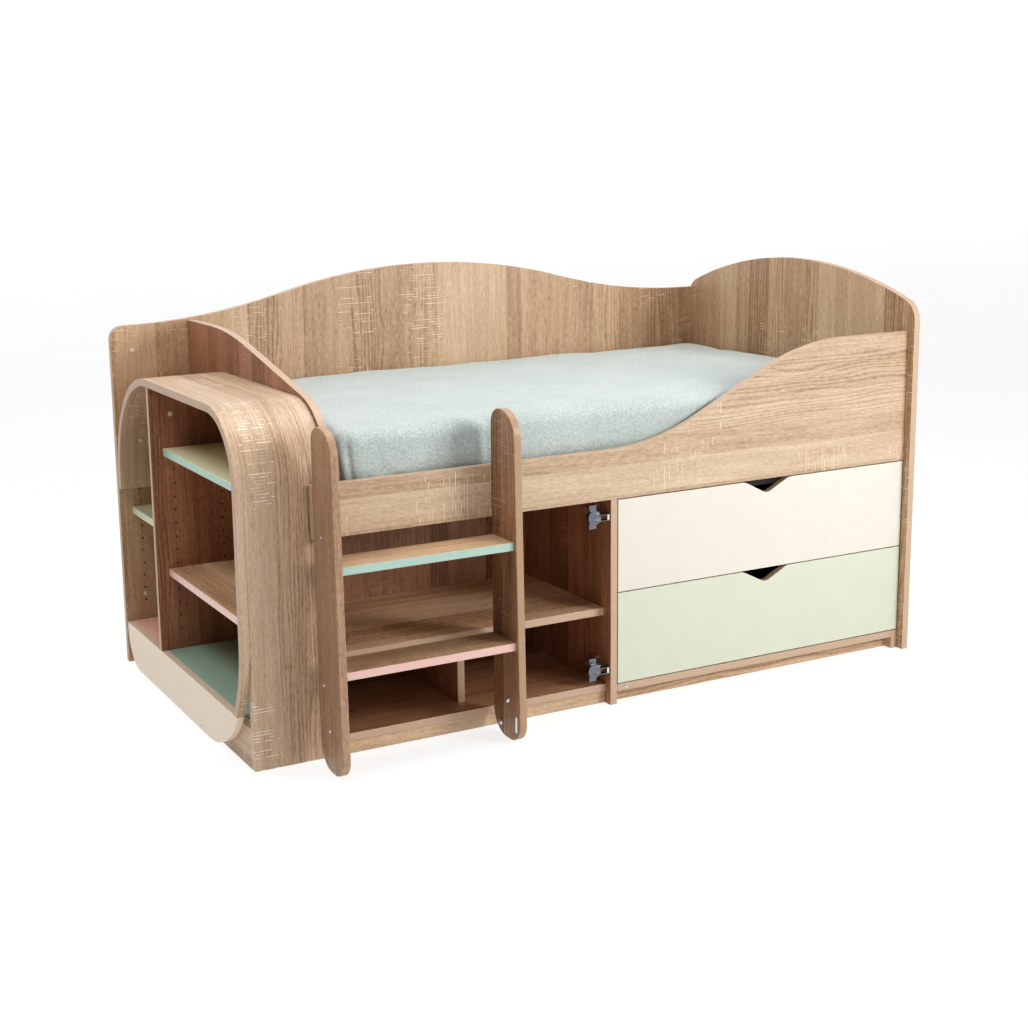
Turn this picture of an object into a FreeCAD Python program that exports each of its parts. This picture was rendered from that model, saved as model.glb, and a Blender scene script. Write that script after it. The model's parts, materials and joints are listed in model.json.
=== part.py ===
import FreeCAD, Part
import math
import os
import Sketcher

# A child's mid-sleeper bed with a bookcase end, a ladder, an open cupboard and two drawers.
# Lengths are millimetres and angles are degrees. X runs along the bed from the bookcase to the
# headboard, Y runs from the front rail to the back panel, and Z is up from the floor.

doc = FreeCAD.newDocument("modular_bed")
sheet = doc.addObject("Spreadsheet::Sheet", "dims")


class Size:
    """A number together with the sheet expression that gives it."""

    def __init__(self, value, text):
        self.value = float(value)
        self.text = text

    def __add__(self, other):
        other = as_size(other)
        return Size(self.value + other.value, f"({self.text} + {other.text})")

    def __radd__(self, other):
        return as_size(other) + self

    def __sub__(self, other):
        other = as_size(other)
        return Size(self.value - other.value, f"({self.text} - {other.text})")

    def __rsub__(self, other):
        return as_size(other) - self

    def __mul__(self, other):
        other = as_size(other)
        return Size(self.value * other.value, f"({self.text} * {other.text})")

    def __rmul__(self, other):
        return as_size(other) * self

    def __truediv__(self, other):
        other = as_size(other)
        return Size(self.value / other.value, f"({self.text} / {other.text})")

    def __neg__(self):
        return Size(-self.value, f"(0 - {self.text})")


def as_size(item):
    """Wrap a plain number, so that it can be joined with sizes."""
    if isinstance(item, Size):
        return item
    return Size(item, f"{float(item):g}")


def root(item):
    """Square root of a size."""
    return Size(math.sqrt(item.value), f"sqrt({item.text})")


def whole(item):
    """Largest whole number that is not above a size."""
    return Size(math.floor(item.value), f"floor({item.text})")


def sine(angle):
    """Sine of an angle in degrees."""
    return Size(math.sin(math.radians(angle.value)), f"sin({angle.text})")


def cosine(angle):
    """Cosine of an angle in degrees."""
    return Size(math.cos(math.radians(angle.value)), f"cos({angle.text})")


sheet_row = 0


def size(name, value):
    """Put one driving dimension in the sheet under its own alias."""
    global sheet_row
    sheet_row += 1
    sheet.set(f"A{sheet_row}", name)
    sheet.set(f"B{sheet_row}", str(value))
    sheet.setAlias(f"B{sheet_row}", name)
    return Size(value, f"dims.{name}")


# Boards and general fits
board = size("board", 19)
thin_panel = size("thin_panel", 4)
front_gap = size("front_gap", 2)
soft_gap = size("soft_gap", 0.3)

# Mattress and the bay that it lies in
mattress_length = size("mattress_length", 1600)
mattress_width = size("mattress_width", 900)
mattress_height = size("mattress_height", 152)
mattress_crown = size("mattress_crown", 18)
mattress_corner = size("mattress_corner", 60)
mattress_draw = size("mattress_draw", 14)
length_room = size("length_room", 15)
width_room = size("width_room", 12)

# Bed base
bearer_width = size("bearer_width", 30)
bearer_height = size("bearer_height", 32)
bearer_lift = size("bearer_lift", 12)
slat_width = size("slat_width", 70)
slat_thickness = size("slat_thickness", 18)
slat_count = 14

# Headboard
head_overhang = size("head_overhang", 21)
head_height = size("head_height", 1018)
crown_radius = size("crown_radius", 1224)
shoulder_radius = size("shoulder_radius", 60)

# Back panel
back_height = size("back_height", 908)
wave_height = size("wave_height", 119)
wave_margin = size("wave_margin", 40)
back_corner = size("back_corner", 35)

# Footboard
foot_rise = size("foot_rise", 108)
sweep_angle = size("sweep_angle", 12.4)
sweep_radius = size("sweep_radius", 1180)

# Front rail
rail_bottom = size("rail_bottom", 513)
rail_height = size("rail_height", 121)
rail_rise = size("rail_rise", 218)
swoop_from_head = size("swoop_from_head", 921)
swoop_radius = size("swoop_radius", 600)
swoop_angle = size("swoop_angle", 26)

# Ladder
ladder_place = size("ladder_place", 167)
ladder_width = size("ladder_width", 460)
ladder_reach = size("ladder_reach", 122)
stile_taper = size("stile_taper", 16)
stile_height = size("stile_height", 768)
stile_rear_round = size("stile_rear_round", 37)
stile_front_round = size("stile_front_round", 62)
foot_rear_round = size("foot_rear_round", 60)
foot_front_round = size("foot_front_round", 45)
upper_step_height = size("upper_step_height", 473)
lower_step_height = size("lower_step_height", 240)
step_front_gap = size("step_front_gap", 10)
step_back_gap = size("step_back_gap", 5)
bolt_radius = size("bolt_radius", 5)
bolt_head = size("bolt_head", 2.5)
rail_bolt_lift = size("rail_bolt_lift", 17)
rail_bolt_back = size("rail_bolt_back", 45)
mid_bolt_height = size("mid_bolt_height", 193)
mid_bolt_back = size("mid_bolt_back", 30)
foot_bolt_height = size("foot_bolt_height", 96)
foot_bolt_back = size("foot_bolt_back", 58)
knob_radius = size("knob_radius", 7)
knob_length = size("knob_length", 9)
knob_back = size("knob_back", 69)
knob_height = size("knob_height", 94)
nut_radius = size("nut_radius", 8)
nut_length = size("nut_length", 6)
nut_back = size("nut_back", 34)
nut_height = size("nut_height", 30)
strap_thickness = size("strap_thickness", 3)
strap_width = size("strap_width", 8)
strap_length = size("strap_length", 42)
strap_back = size("strap_back", 110)
strap_lift = size("strap_lift", 24)

# Bookcase
bookcase_depth = size("bookcase_depth", 212)
shell_margin = size("shell_margin", 8)
shell_height = size("shell_height", 804)
shell_front_radius = size("shell_front_radius", 165)
shell_rear_radius = size("shell_rear_radius", 285)
shell_tail = size("shell_tail", 40)
rim_depth = size("rim_depth", 20)
curl_radius = size("curl_radius", 330)
curl_start = size("curl_start", 290)
kick_height = size("kick_height", 113)
kick_inset = size("kick_inset", 2)
kick_rear_radius = size("kick_rear_radius", 100)
upright_board = size("upright_board", 16)
shelf_setback = size("shelf_setback", 33)
pin_radius = size("pin_radius", 2.5)
pin_reach = size("pin_reach", 9)
pin_depth = size("pin_depth", 8)
hole_drop = size("hole_drop", 29.5)
hole_rise = size("hole_rise", 34)
hole_setback = size("hole_setback", 57)
hole_rear_setback = size("hole_rear_setback", 32)
hole_floor_room = size("hole_floor_room", 40)
hole_tail_room = size("hole_tail_room", 5)
mint_shelf_hole = 0
corner_shelf_hole = 6
pink_shelf_hole = 9
cap_radius = size("cap_radius", 7)
cap_height = size("cap_height", 2)
panel_cap_drop = size("panel_cap_drop", 66)
upright_cap_drop = size("upright_cap_drop", 69)
bend_cap_angle = size("bend_cap_angle", 20)

# Drawer unit and cupboard
unit_depth = size("unit_depth", 410)
drawer_bay = size("drawer_bay", 894)
plinth_height = size("plinth_height", 31)
plinth_setback = size("plinth_setback", 25)
stretcher_width = size("stretcher_width", 60)
drawer_board = size("drawer_board", 12)
drawer_back_gap = size("drawer_back_gap", 27)
drawer_side_height = size("drawer_side_height", 150)
drawer_lift = size("drawer_lift", 16)
drawer_floor_lift = size("drawer_floor_lift", 8)
notch_depth = size("notch_depth", 32)
notch_angle = size("notch_angle", 27)
notch_lip_radius = size("notch_lip_radius", 40)
notch_root_radius = size("notch_root_radius", 25)
runner_room = size("runner_room", 13)
runner_end_gap = size("runner_end_gap", 10)
runner_height = size("runner_height", 36)
runner_wall = size("runner_wall", 2)
runner_gap = size("runner_gap", 0.3)
runner_lift = size("runner_lift", 30)
runner_side_gap = size("runner_side_gap", 2)
runner_bar_gap = size("runner_bar_gap", 1)
cupboard_setback = size("cupboard_setback", 20)
cupboard_shelf_height = size("cupboard_shelf_height", 240)
cupboard_shelf_setback = size("cupboard_shelf_setback", 30)
partition_place = size("partition_place", 321)
partition_setback = size("partition_setback", 74)

# Concealed hinges
hinge_margin = size("hinge_margin", 41)
hinge_plate_width = size("hinge_plate_width", 20)
hinge_plate_height = size("hinge_plate_height", 50)
hinge_plate_thickness = size("hinge_plate_thickness", 3)
hinge_plate_setback = size("hinge_plate_setback", 48)
hinge_boss_height = size("hinge_boss_height", 7)
hinge_boss_overhang = size("hinge_boss_overhang", 8)
hinge_boss_inset = size("hinge_boss_inset", 2)
hinge_boss_round = size("hinge_boss_round", 3)
hinge_screw_offset = size("hinge_screw_offset", 16)
hinge_arm_length = size("hinge_arm_length", 68)
hinge_arm_width = size("hinge_arm_width", 16)
hinge_arm_height = size("hinge_arm_height", 8)
hinge_arm_setback = size("hinge_arm_setback", 24)
hinge_neck_width = size("hinge_neck_width", 12)
hinge_neck_near = size("hinge_neck_near", 2)
hinge_neck_far = size("hinge_neck_far", 4)
hinge_neck_lap = size("hinge_neck_lap", 10)
hinge_neck_slope = size("hinge_neck_slope", 6)
hinge_neck_root = size("hinge_neck_root", 4)
hinge_pivot_side = size("hinge_pivot_side", 6)
hinge_pivot_setback = size("hinge_pivot_setback", 2)
hinge_pin_radius = size("hinge_pin_radius", 1.5)
hinge_pin_gap = size("hinge_pin_gap", 0.2)
hinge_ear_thickness = size("hinge_ear_thickness", 2)
hinge_ear_gap = size("hinge_ear_gap", 0.3)
hinge_ear_margin = size("hinge_ear_margin", 3.5)
hinge_cup_radius = size("hinge_cup_radius", 17.5)
hinge_cup_side = size("hinge_cup_side", 40)
hinge_cup_setback = size("hinge_cup_setback", 6)
hinge_cup_depth = size("hinge_cup_depth", 11)
hinge_cup_wall = size("hinge_cup_wall", 1.5)
hinge_flange_height = size("hinge_flange_height", 58)
hinge_flange_width = size("hinge_flange_width", 20)
hinge_flange_thickness = size("hinge_flange_thickness", 2)
cut_past = size("cut_past", 1)

# Small chrome screws
screw_radius = size("screw_radius", 4)
screw_head = size("screw_head", 1.5)
screw_inset = size("screw_inset", 28)
kick_screw_height = size("kick_screw_height", 12)
kick_screw_rear = size("kick_screw_rear", 642)
kick_screw_front = size("kick_screw_front", 335)
leg_screw_height = size("leg_screw_height", 40)

# Places along the bed
foot_left = bookcase_depth
foot_right = foot_left + board
head_left = foot_right + mattress_length + length_room
head_right = head_left + board
divider_right = head_left - drawer_bay
divider_left = divider_right - board
side_left = head_left - board
ladder_right = ladder_place + ladder_width

# Places across the bed
back_front = board + mattress_width + width_room
back_rear = back_front + board
shell_front = board + shell_margin
shell_inside = shell_front + board
upright_rear = back_front - shell_rear_radius
upright_front = upright_rear - upright_board
unit_inside = unit_depth - thin_panel
behind_fronts = board + front_gap
drawer_depth = unit_inside - board - drawer_back_gap
runner_length = drawer_depth - runner_end_gap

# Heights
bottom_top = plinth_height + board
rail_top = rail_bottom + rail_height
floor_under = kick_height - board
shell_under = shell_height - board
bearer_bottom = rail_bottom + bearer_lift
slat_bottom = bearer_bottom + bearer_height
mattress_bottom = slat_bottom + slat_thickness + soft_gap
front_split = (bottom_top + rail_bottom) / 2
foot_height = shell_height + foot_rise

# Rows of holes for shelf pins, counted down from the top hole below the shell's front bend
hole_top = shell_height - shell_front_radius - hole_drop
hole_steps = whole((hole_top - kick_height - hole_floor_room) / hole_rise)
hole_first = hole_top - hole_rise * hole_steps
pin_rows = (hole_setback, bookcase_depth - hole_rear_setback)
tail_bottom = shell_height - shell_rear_radius - shell_tail
back_hole_steps = whole((tail_bottom - hole_tail_room - hole_first) / hole_rise)

# The origin is at the middle of the object's footprint.
centre_x = head_right / 2
centre_y = (back_rear - ladder_reach) / 2

nodes = []


def bind(item, **sizes):
    """Tie properties of an object to the sheet."""
    for name, amount in sizes.items():
        item.setExpression(name, as_size(amount).text)


def place(item, x, y, z):
    """Put an object at a point measured from the bookcase's open end, the rail's face and the floor."""
    item.setExpression("Placement.Base.x", (as_size(x) - centre_x).text)
    item.setExpression("Placement.Base.y", (as_size(y) - centre_y).text)
    item.setExpression("Placement.Base.z", as_size(z).text)


def keep(item, label):
    """Give an object its label and list it as a sub-part."""
    item.Label = label
    nodes.append(item)
    return item


def box(name, x, y, z, length, width, height):
    """A straight board from its nearest lower left corner."""
    item = doc.addObject("Part::Box", name)
    bind(item, Length=length, Width=width, Height=height)
    place(item, x, y, z)
    return item


TURNS = {
    "x": FreeCAD.Rotation(FreeCAD.Vector(0, 1, 0), 90),
    "y": FreeCAD.Rotation(FreeCAD.Vector(1, 0, 0), -90),
    "z": FreeCAD.Rotation(),
}


def rod(name, axis, x, y, z, radius, length):
    """A cylinder that starts at a point and runs along an axis."""
    item = doc.addObject("Part::Cylinder", name)
    item.Placement = FreeCAD.Placement(FreeCAD.Vector(), TURNS[axis])
    bind(item, Radius=radius, Height=length)
    place(item, x, y, z)
    return item


def group(label, items):
    """Several separate solids that share one node."""
    item = doc.addObject("Part::Compound", label)
    item.Links = items
    return keep(item, label)


def new_body(label):
    """An empty body, listed as a sub-part."""
    return keep(doc.addObject("PartDesign::Body", label), label)


def new_sketch(body, plane, name, offset=None):
    """A sketch on one of the body's own origin planes, moved along its normal by an offset."""
    sketch = body.newObject("Sketcher::SketchObject", name)
    support = next(item for item in body.Origin.OriginFeatures if item.Role == plane)
    sketch.AttachmentSupport = [(support, "")]
    sketch.MapMode = "FlatFace"
    if offset is not None:
        sketch.setExpression("AttachmentOffset.Base.z", offset.text)
    return sketch


def hold(sketch, kind, links, amount, name):
    """Add a measured constraint and tie it to the sheet."""
    index = sketch.addConstraint(Sketcher.Constraint(kind, *links, amount.value))
    sketch.renameConstraint(index, name)
    sketch.setExpression(f"Constraints.{name}", amount.text)


def hold_point(sketch, curve, end, u, v, name):
    """Fix the end of a curve at a measured point of the sketch."""
    for kind, axis, amount, letter in (("DistanceX", -2, u, "u"), ("DistanceY", -1, v, "v")):
        amount = as_size(amount)
        if amount.text == "0":
            sketch.addConstraint(Sketcher.Constraint("PointOnObject", curve, end, axis))
        else:
            hold(sketch, kind, (-1, 1, curve, end), amount, f"{name}{letter}")


def draw_loop(sketch, steps, name="p"):
    """Close an outline through steps: (u, v) is reached by a line, (u, v, radius, turn) by an arc.

    A turn of 1 bends to the left on the way to the point, and -1 bends to the right.
    """
    points = [FreeCAD.Vector(as_size(step[0]).value, as_size(step[1]).value, 0) for step in steps]
    ends = []
    for index, step in enumerate(steps):
        start = points[index - 1]
        stop = points[index]
        if len(step) == 2:
            curve = sketch.addGeometry(Part.LineSegment(start, stop), False)
            ends.append((curve, 1, 2))
            continue
        radius = as_size(step[2])
        turn = step[3]
        chord = stop - start
        rise = math.sqrt(radius.value ** 2 - (chord.Length / 2) ** 2)
        left = FreeCAD.Vector(-chord.y, chord.x, 0).normalize()
        centre = (start + stop) * 0.5 + left * (turn * rise)
        first, last = (start, stop) if turn > 0 else (stop, start)
        begin = math.atan2(first.y - centre.y, first.x - centre.x)
        finish = math.atan2(last.y - centre.y, last.x - centre.x)
        circle = Part.Circle(centre, FreeCAD.Vector(0, 0, 1), radius.value)
        curve = sketch.addGeometry(Part.ArcOfCircle(circle, begin, finish), False)
        ends.append((curve, 1, 2) if turn > 0 else (curve, 2, 1))
        hold(sketch, "Radius", (curve,), radius, f"{name}{index}r")
    for index, step in enumerate(steps):
        curve, _, stop_end = ends[index]
        after, start_end, _ = ends[(index + 1) % len(steps)]
        sketch.addConstraint(Sketcher.Constraint("Coincident", curve, stop_end, after, start_end))
        hold_point(sketch, curve, stop_end, step[0], step[1], f"{name}{index}")


def pad(body, sketch, depth, backwards=False):
    """Raise a sketch into a board."""
    feature = body.newObject("PartDesign::Pad", "Pad")
    feature.Profile = sketch
    bind(feature, Length=depth)
    feature.Reversed = backwards
    return feature


def cut_board(label, plane, steps, thickness, x=0, y=0, z=0):
    """A board cut to an outline, with its thickness along +X, +Y or +Z."""
    body = new_body(label)
    sketch = new_sketch(body, plane, "Outline")
    draw_loop(sketch, steps)
    pad(body, sketch, thickness, backwards=plane == "XZ_Plane")
    place(body, x, y, z)
    return body


def drill_rows(body, rows, offset, depth, steps, backwards=False):
    """Upright rows of holes for shelf pins. Each hole has eight flats, which touch the pin."""
    sketch = new_sketch(body, "XZ_Plane", "PinHoles", offset)
    corner = pin_radius / cosine(as_size(22.5))
    for index, across in enumerate(rows):
        turns = [as_size(22.5 + 45 * side) for side in range(8)]
        draw_loop(sketch, [
            (across + corner * cosine(turn), hole_first + corner * sine(turn)) for turn in turns
        ], f"hole{index}p")
    doc.recompute()
    pocket = body.newObject("PartDesign::Pocket", "PinHole")
    pocket.Profile = sketch
    pocket.Reversed = backwards
    bind(pocket, Length=depth)
    pattern = body.newObject("PartDesign::LinearPattern", "PinRows")
    pattern.Originals = [pocket]
    pattern.Direction = (sketch, ["V_Axis"])
    pattern.Occurrences = int(steps.value) + 1
    bind(pattern, Length=hole_rise * steps, Occurrences=steps + 1)
    body.Tip = pattern


def make_headboard():
    """Arched end panel: a crown arc with rounded shoulders."""
    half = (back_rear + head_overhang) / 2
    middle = back_rear - half
    centre = head_height - crown_radius
    inner = crown_radius - shoulder_radius
    across = half - shoulder_radius
    up = root(inner * inner - across * across)
    lean = crown_radius / inner
    cut_board("headboard", "YZ_Plane", [
        (-head_overhang, 0),
        (back_rear, 0),
        (back_rear, centre + up),
        (middle + across * lean, centre + up * lean, shoulder_radius, 1),
        (middle - across * lean, centre + up * lean, crown_radius, 1),
        (-head_overhang, centre + up, shoulder_radius, 1),
    ], board, x=head_left)


def make_back_panel():
    """Long wall panel whose top rises and falls in one wave of equal arcs."""
    run = (head_left - 2 * wave_margin) / 4
    rise = wave_height / 2
    bend = (run * run + rise * rise) / (2 * rise)
    body = cut_board("back_panel", "XZ_Plane", [
        (0, 0),
        (head_left, 0),
        (head_left, back_height),
        (head_left - wave_margin, back_height),
        (head_left - wave_margin - run, back_height + rise, bend, -1),
        (wave_margin + run, back_height + rise, bend, 1),
        (wave_margin, back_height, bend, -1),
        (back_corner, back_height),
        (0, back_height - back_corner, back_corner, 1),
    ], board, y=back_front)
    drill_rows(body, pin_rows, None, pin_depth, back_hole_steps)


def make_footboard():
    """End panel between bookcase and mattress, sweeping down to the shell's front curve."""
    front_y = shell_front + shell_front_radius
    front_z = shell_height - shell_front_radius
    front_bend = shell_front_radius + shell_margin
    fall = sine(sweep_angle)
    level = cosine(sweep_angle)
    reach = level * (foot_height - sweep_radius) + sweep_radius
    sweep_y = (reach + fall * front_y - level * front_z - front_bend) / fall
    sweep_z = foot_height - sweep_radius
    cut_board("footboard", "YZ_Plane", [
        (board, 0),
        (back_front, 0),
        (back_front, foot_height),
        (sweep_y, foot_height),
        (sweep_y - sweep_radius * fall, sweep_z + sweep_radius * level, sweep_radius, 1),
        (front_y - front_bend * fall, front_z + front_bend * level),
        (board, front_z, front_bend, 1),
    ], board, x=foot_left)


def make_front_rail():
    """Low rail that rises in an S to the headboard."""
    arc_run = swoop_radius * sine(swoop_angle)
    arc_rise = swoop_radius * (1 - cosine(swoop_angle))
    line_rise = rail_rise - 2 * arc_rise
    line_run = line_rise * cosine(swoop_angle) / sine(swoop_angle)
    start = head_left - swoop_from_head
    high = rail_top + rail_rise
    cut_board("front_rail", "XZ_Plane", [
        (ladder_place, rail_bottom),
        (head_left, rail_bottom),
        (head_left, high),
        (start + 2 * arc_run + line_run, high),
        (start + arc_run + line_run, high - arc_rise, swoop_radius, 1),
        (start + arc_run, rail_top + arc_rise),
        (start, rail_top, swoop_radius, -1),
        (ladder_place, rail_top),
    ], board)


def make_bed_base():
    """Two bearers along the rail and the back, and slats across them."""
    length = head_left - foot_right
    group("slat_bearers", [
        box("bearer_front", foot_right, board, bearer_bottom, length, bearer_width, bearer_height),
        box("bearer_rear", foot_right, back_front - bearer_width, bearer_bottom,
            length, bearer_width, bearer_height),
    ])
    step = (length - slat_width) / (slat_count - 1)
    group("slats", [
        box(f"slat_{index + 1}", foot_right + step * index, board, slat_bottom,
            slat_width, back_front - board, slat_thickness)
        for index in range(slat_count)
    ])


def make_mattress():
    """Soft slab: sides drawn in above and below, and a low crown on top."""
    body = new_body("mattress")
    crown_step = mattress_width / 8
    levels = [
        (as_size(0), mattress_draw),
        (mattress_height * 0.25, mattress_draw * 0.2),
        (mattress_height * 0.5, as_size(0)),
        (mattress_height * 0.75, mattress_draw * 0.2),
        (mattress_height, mattress_draw),
        (mattress_height + mattress_crown * 0.6, mattress_draw + crown_step),
        (mattress_height + mattress_crown, mattress_draw + 2 * crown_step),
    ]
    sketches = []
    for index, (lift, inset) in enumerate(levels):
        sketch = new_sketch(body, "XY_Plane", f"Level{index}", lift)
        draw_loop(sketch, rounded(inset, inset, mattress_length - 2 * inset, mattress_width - 2 * inset,
                                  mattress_corner))
        sketches.append(sketch)
    loft = body.newObject("PartDesign::AdditiveLoft", "Slab")
    loft.Profile = sketches[0]
    loft.Sections = sketches[1:]
    loft.Ruled = True
    place(body, foot_right + length_room / 2, board + width_room / 2, mattress_bottom)


def make_shell():
    """Bent board over the bookcase: front leg, two unequal bends and a tail on the back panel."""
    front_turn_y = shell_front + shell_front_radius
    front_turn_z = shell_height - shell_front_radius
    rear_turn_z = shell_height - shell_rear_radius
    over = [
        (shell_inside, front_turn_z),
        (front_turn_y, shell_under, shell_front_radius - board, -1),
        (upright_rear, shell_under),
        (back_front - board, rear_turn_z, shell_rear_radius - board, -1),
        (back_front - board, rear_turn_z - shell_tail),
        (back_front, rear_turn_z - shell_tail),
        (back_front, rear_turn_z),
        (upright_rear, shell_height, shell_rear_radius, 1),
        (front_turn_y, shell_height),
        (shell_front, front_turn_z, shell_front_radius, 1),
    ]
    shell = cut_board("bookcase_shell", "YZ_Plane", [
        (shell_front, 0),
        (shell_inside, 0),
    ] + over, bookcase_depth - rim_depth, x=rim_depth)
    return shell, over


def make_rim(over):
    """Edge of the shell's open end: it curls in above the kick plate's rounded corner."""
    drop = curl_start - kick_height
    inner = curl_radius - board
    outer_y = shell_front + curl_radius - root(curl_radius * curl_radius - drop * drop)
    inner_y = shell_front + curl_radius - root(inner * inner - drop * drop)
    cut_board("bookcase_rim", "YZ_Plane", [
        (outer_y, kick_height, curl_radius, 1),
        (inner_y, kick_height),
        (shell_inside, curl_start, inner, -1),
    ] + over + [
        (shell_front, curl_start),
    ], rim_depth)
    slope = drop / curl_radius
    corner = kick_height / (1 - slope)
    corner_run = corner * root(1 - slope * slope)
    cut_board("kick_plate", "YZ_Plane", [
        (outer_y + corner_run, 0, corner, 1),
        (back_front - kick_rear_radius, 0),
        (back_front, kick_rear_radius, kick_rear_radius, 1),
        (back_front, kick_height),
        (outer_y, kick_height),
    ], rim_depth - kick_inset, x=kick_inset)


def pin_row(name, hole, starts):
    """Shelf pins at one hole level, two for each wall given by its start along Y."""
    level = hole_top - hole_rise * hole
    length = pin_depth + pin_reach
    return [
        rod(f"{name}_{wall}_{side}", "y", row, start, level, pin_radius, length)
        for wall, start in enumerate(starts)
        for side, row in enumerate(pin_rows)
    ]


def bend_cap():
    """Cover cap that lies inside the shell's rear bend, square to the bend's radius."""
    hollow = shell_rear_radius - board
    seat = root(hollow * hollow - cap_radius * cap_radius) - cap_height
    item = doc.addObject("Part::Cylinder", "cap_bend")
    item.Placement = FreeCAD.Placement(FreeCAD.Vector(), FreeCAD.Rotation(FreeCAD.Vector(-1, 0, 0), 70))
    bind(item, Radius=cap_radius, Height=cap_height)
    item.setExpression("Placement.Rotation.Angle", (90 - bend_cap_angle).text)
    place(item, hole_setback, upright_rear + seat * cosine(bend_cap_angle),
          shell_height - shell_rear_radius + seat * sine(bend_cap_angle))
    return item


def make_bookcase():
    """Shell with its upright, shelves on pins, coloured floors and kick plate."""
    shell, over = make_shell()
    drill_rows(shell, [row - rim_depth for row in pin_rows], -shell_inside, pin_depth, hole_steps,
               backwards=True)
    make_rim(over)
    deep = bookcase_depth - rim_depth
    keep(box("bookcase_plinth", rim_depth, shell_inside, 0, board, back_front - shell_inside, floor_under),
         "bookcase_plinth")
    middle = upright_rear - upright_board / 2
    keep(box("green_floor", rim_depth, shell_inside, floor_under, deep, middle - shell_inside, board),
         "green_floor")
    keep(box("pink_floor", rim_depth, middle, floor_under, deep, back_front - middle, board), "pink_floor")
    upright = cut_board("bookcase_upright", "XZ_Plane", [
        (kick_inset, kick_height),
        (bookcase_depth, kick_height),
        (bookcase_depth, shell_under),
        (kick_inset, shell_under),
    ], upright_board, y=upright_front)
    drill_rows(upright, pin_rows, None, upright_board, hole_steps)
    wide = upright_front - shell_inside
    long = bookcase_depth - shelf_setback
    for label, hole in (("pink_shelf", pink_shelf_hole), ("mint_shelf", mint_shelf_hole)):
        level = hole_top - hole_rise * hole + pin_radius
        keep(box(label, shelf_setback, shell_inside, level, long, wide, board), label)
    level = hole_top - hole_rise * corner_shelf_hole + pin_radius
    keep(box("corner_shelf", shelf_setback, upright_rear, level, long, back_front - upright_rear, board),
         "corner_shelf")
    front_walls = (shell_inside - pin_depth, upright_front - pin_reach)
    rear_walls = (upright_rear - pin_depth, back_front - pin_reach)
    group("shelf_pins",
          pin_row("pink_pin", pink_shelf_hole, front_walls)
          + pin_row("mint_pin", mint_shelf_hole, front_walls)
          + pin_row("corner_pin", corner_shelf_hole, rear_walls))
    group("cover_caps", [
        rod("cap_top", "y", hole_setback, back_front - cap_height, back_height - panel_cap_drop,
            cap_radius, cap_height),
        rod("cap_low", "y", hole_setback, back_front - cap_height, hole_first + hole_rise / 2,
            cap_radius, cap_height),
        rod("cap_upright", "y", hole_setback, upright_front - cap_height, shell_under - upright_cap_drop,
            cap_radius, cap_height),
        bend_cap(),
    ])


def make_ladder():
    """Two tapered stiles with rounded ends, two steps, bolts and foot fittings."""
    top_reach = ladder_reach - stile_taper
    outline = [
        (0, foot_rear_round, foot_rear_round, 1),
        (0, stile_height - stile_rear_round),
        (-stile_rear_round, stile_height, stile_rear_round, 1),
        (stile_front_round - top_reach, stile_height),
        (-top_reach, stile_height - stile_front_round, stile_front_round, 1),
        (-ladder_reach, foot_front_round),
        (foot_front_round - ladder_reach, 0, foot_front_round, 1),
        (-foot_rear_round, 0),
    ]
    cut_board("ladder_stile_left", "YZ_Plane", outline, board, x=ladder_place)
    cut_board("ladder_stile_right", "YZ_Plane", outline, board, x=ladder_right - board)
    left = ladder_place + board
    long = ladder_width - 2 * board
    for label, level in (("upper_step", upper_step_height), ("lower_step", lower_step_height)):
        reach = ladder_reach - stile_taper * level / stile_height - step_front_gap
        keep(box(label, left, -reach, level - board, long, reach - step_back_gap, board), label)
    bolts = []
    spots = (
        (rail_bolt_back, rail_bottom + rail_bolt_lift),
        (mid_bolt_back, mid_bolt_height),
        (foot_bolt_back, foot_bolt_height),
    )
    for index, (back, level) in enumerate(spots):
        bolts.append(rod(f"bolt_left_{index}", "x", ladder_place - bolt_head, -back, level,
                         bolt_radius, bolt_head))
        bolts.append(rod(f"bolt_right_{index}", "x", ladder_right, -back, level, bolt_radius, bolt_head))
    group("ladder_bolts", bolts)
    fittings = []
    for side, start, way in (("left", left, 0), ("right", ladder_right - board, -1)):
        fittings.append(rod(f"knob_{side}", "x", start + knob_length * way, -knob_back, knob_height,
                            knob_radius, knob_length))
        fittings.append(rod(f"nut_{side}", "x", start + nut_length * way, -nut_back, nut_height,
                            nut_radius, nut_length))
        fittings.append(box(f"strap_{side}", start + strap_thickness * way, -strap_back, strap_lift,
                            strap_thickness, strap_width, strap_length))
    group("foot_fittings", fittings)


def make_drawer_unit():
    """Carcass of the drawer unit, whose left side divides it from the cupboard."""
    wide = side_left - divider_right
    keep(box("divider", divider_left, 0, 0, board, unit_depth, rail_bottom), "divider")
    cut_board("drawer_unit_side", "YZ_Plane", [
        (0, 0),
        (unit_depth, 0),
        (unit_depth, rail_bottom),
        (behind_fronts, rail_bottom),
        (behind_fronts, bottom_top),
        (0, bottom_top),
    ], board, x=side_left)
    keep(box("drawer_unit_bottom", divider_right, 0, plinth_height, wide, unit_inside, board),
         "drawer_unit_bottom")
    keep(box("drawer_unit_plinth", divider_right, plinth_setback, 0, wide, board, plinth_height),
         "drawer_unit_plinth")
    keep(box("drawer_unit_back", divider_right, unit_inside, plinth_height, wide, thin_panel,
             rail_bottom - plinth_height), "drawer_unit_back")
    group("drawer_unit_stretchers", [
        box("stretcher_front", divider_right, behind_fronts, rail_bottom - board,
            wide, stretcher_width, board),
        box("stretcher_rear", divider_right, unit_inside - stretcher_width, rail_bottom - board,
            wide, stretcher_width, board),
    ])


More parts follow.
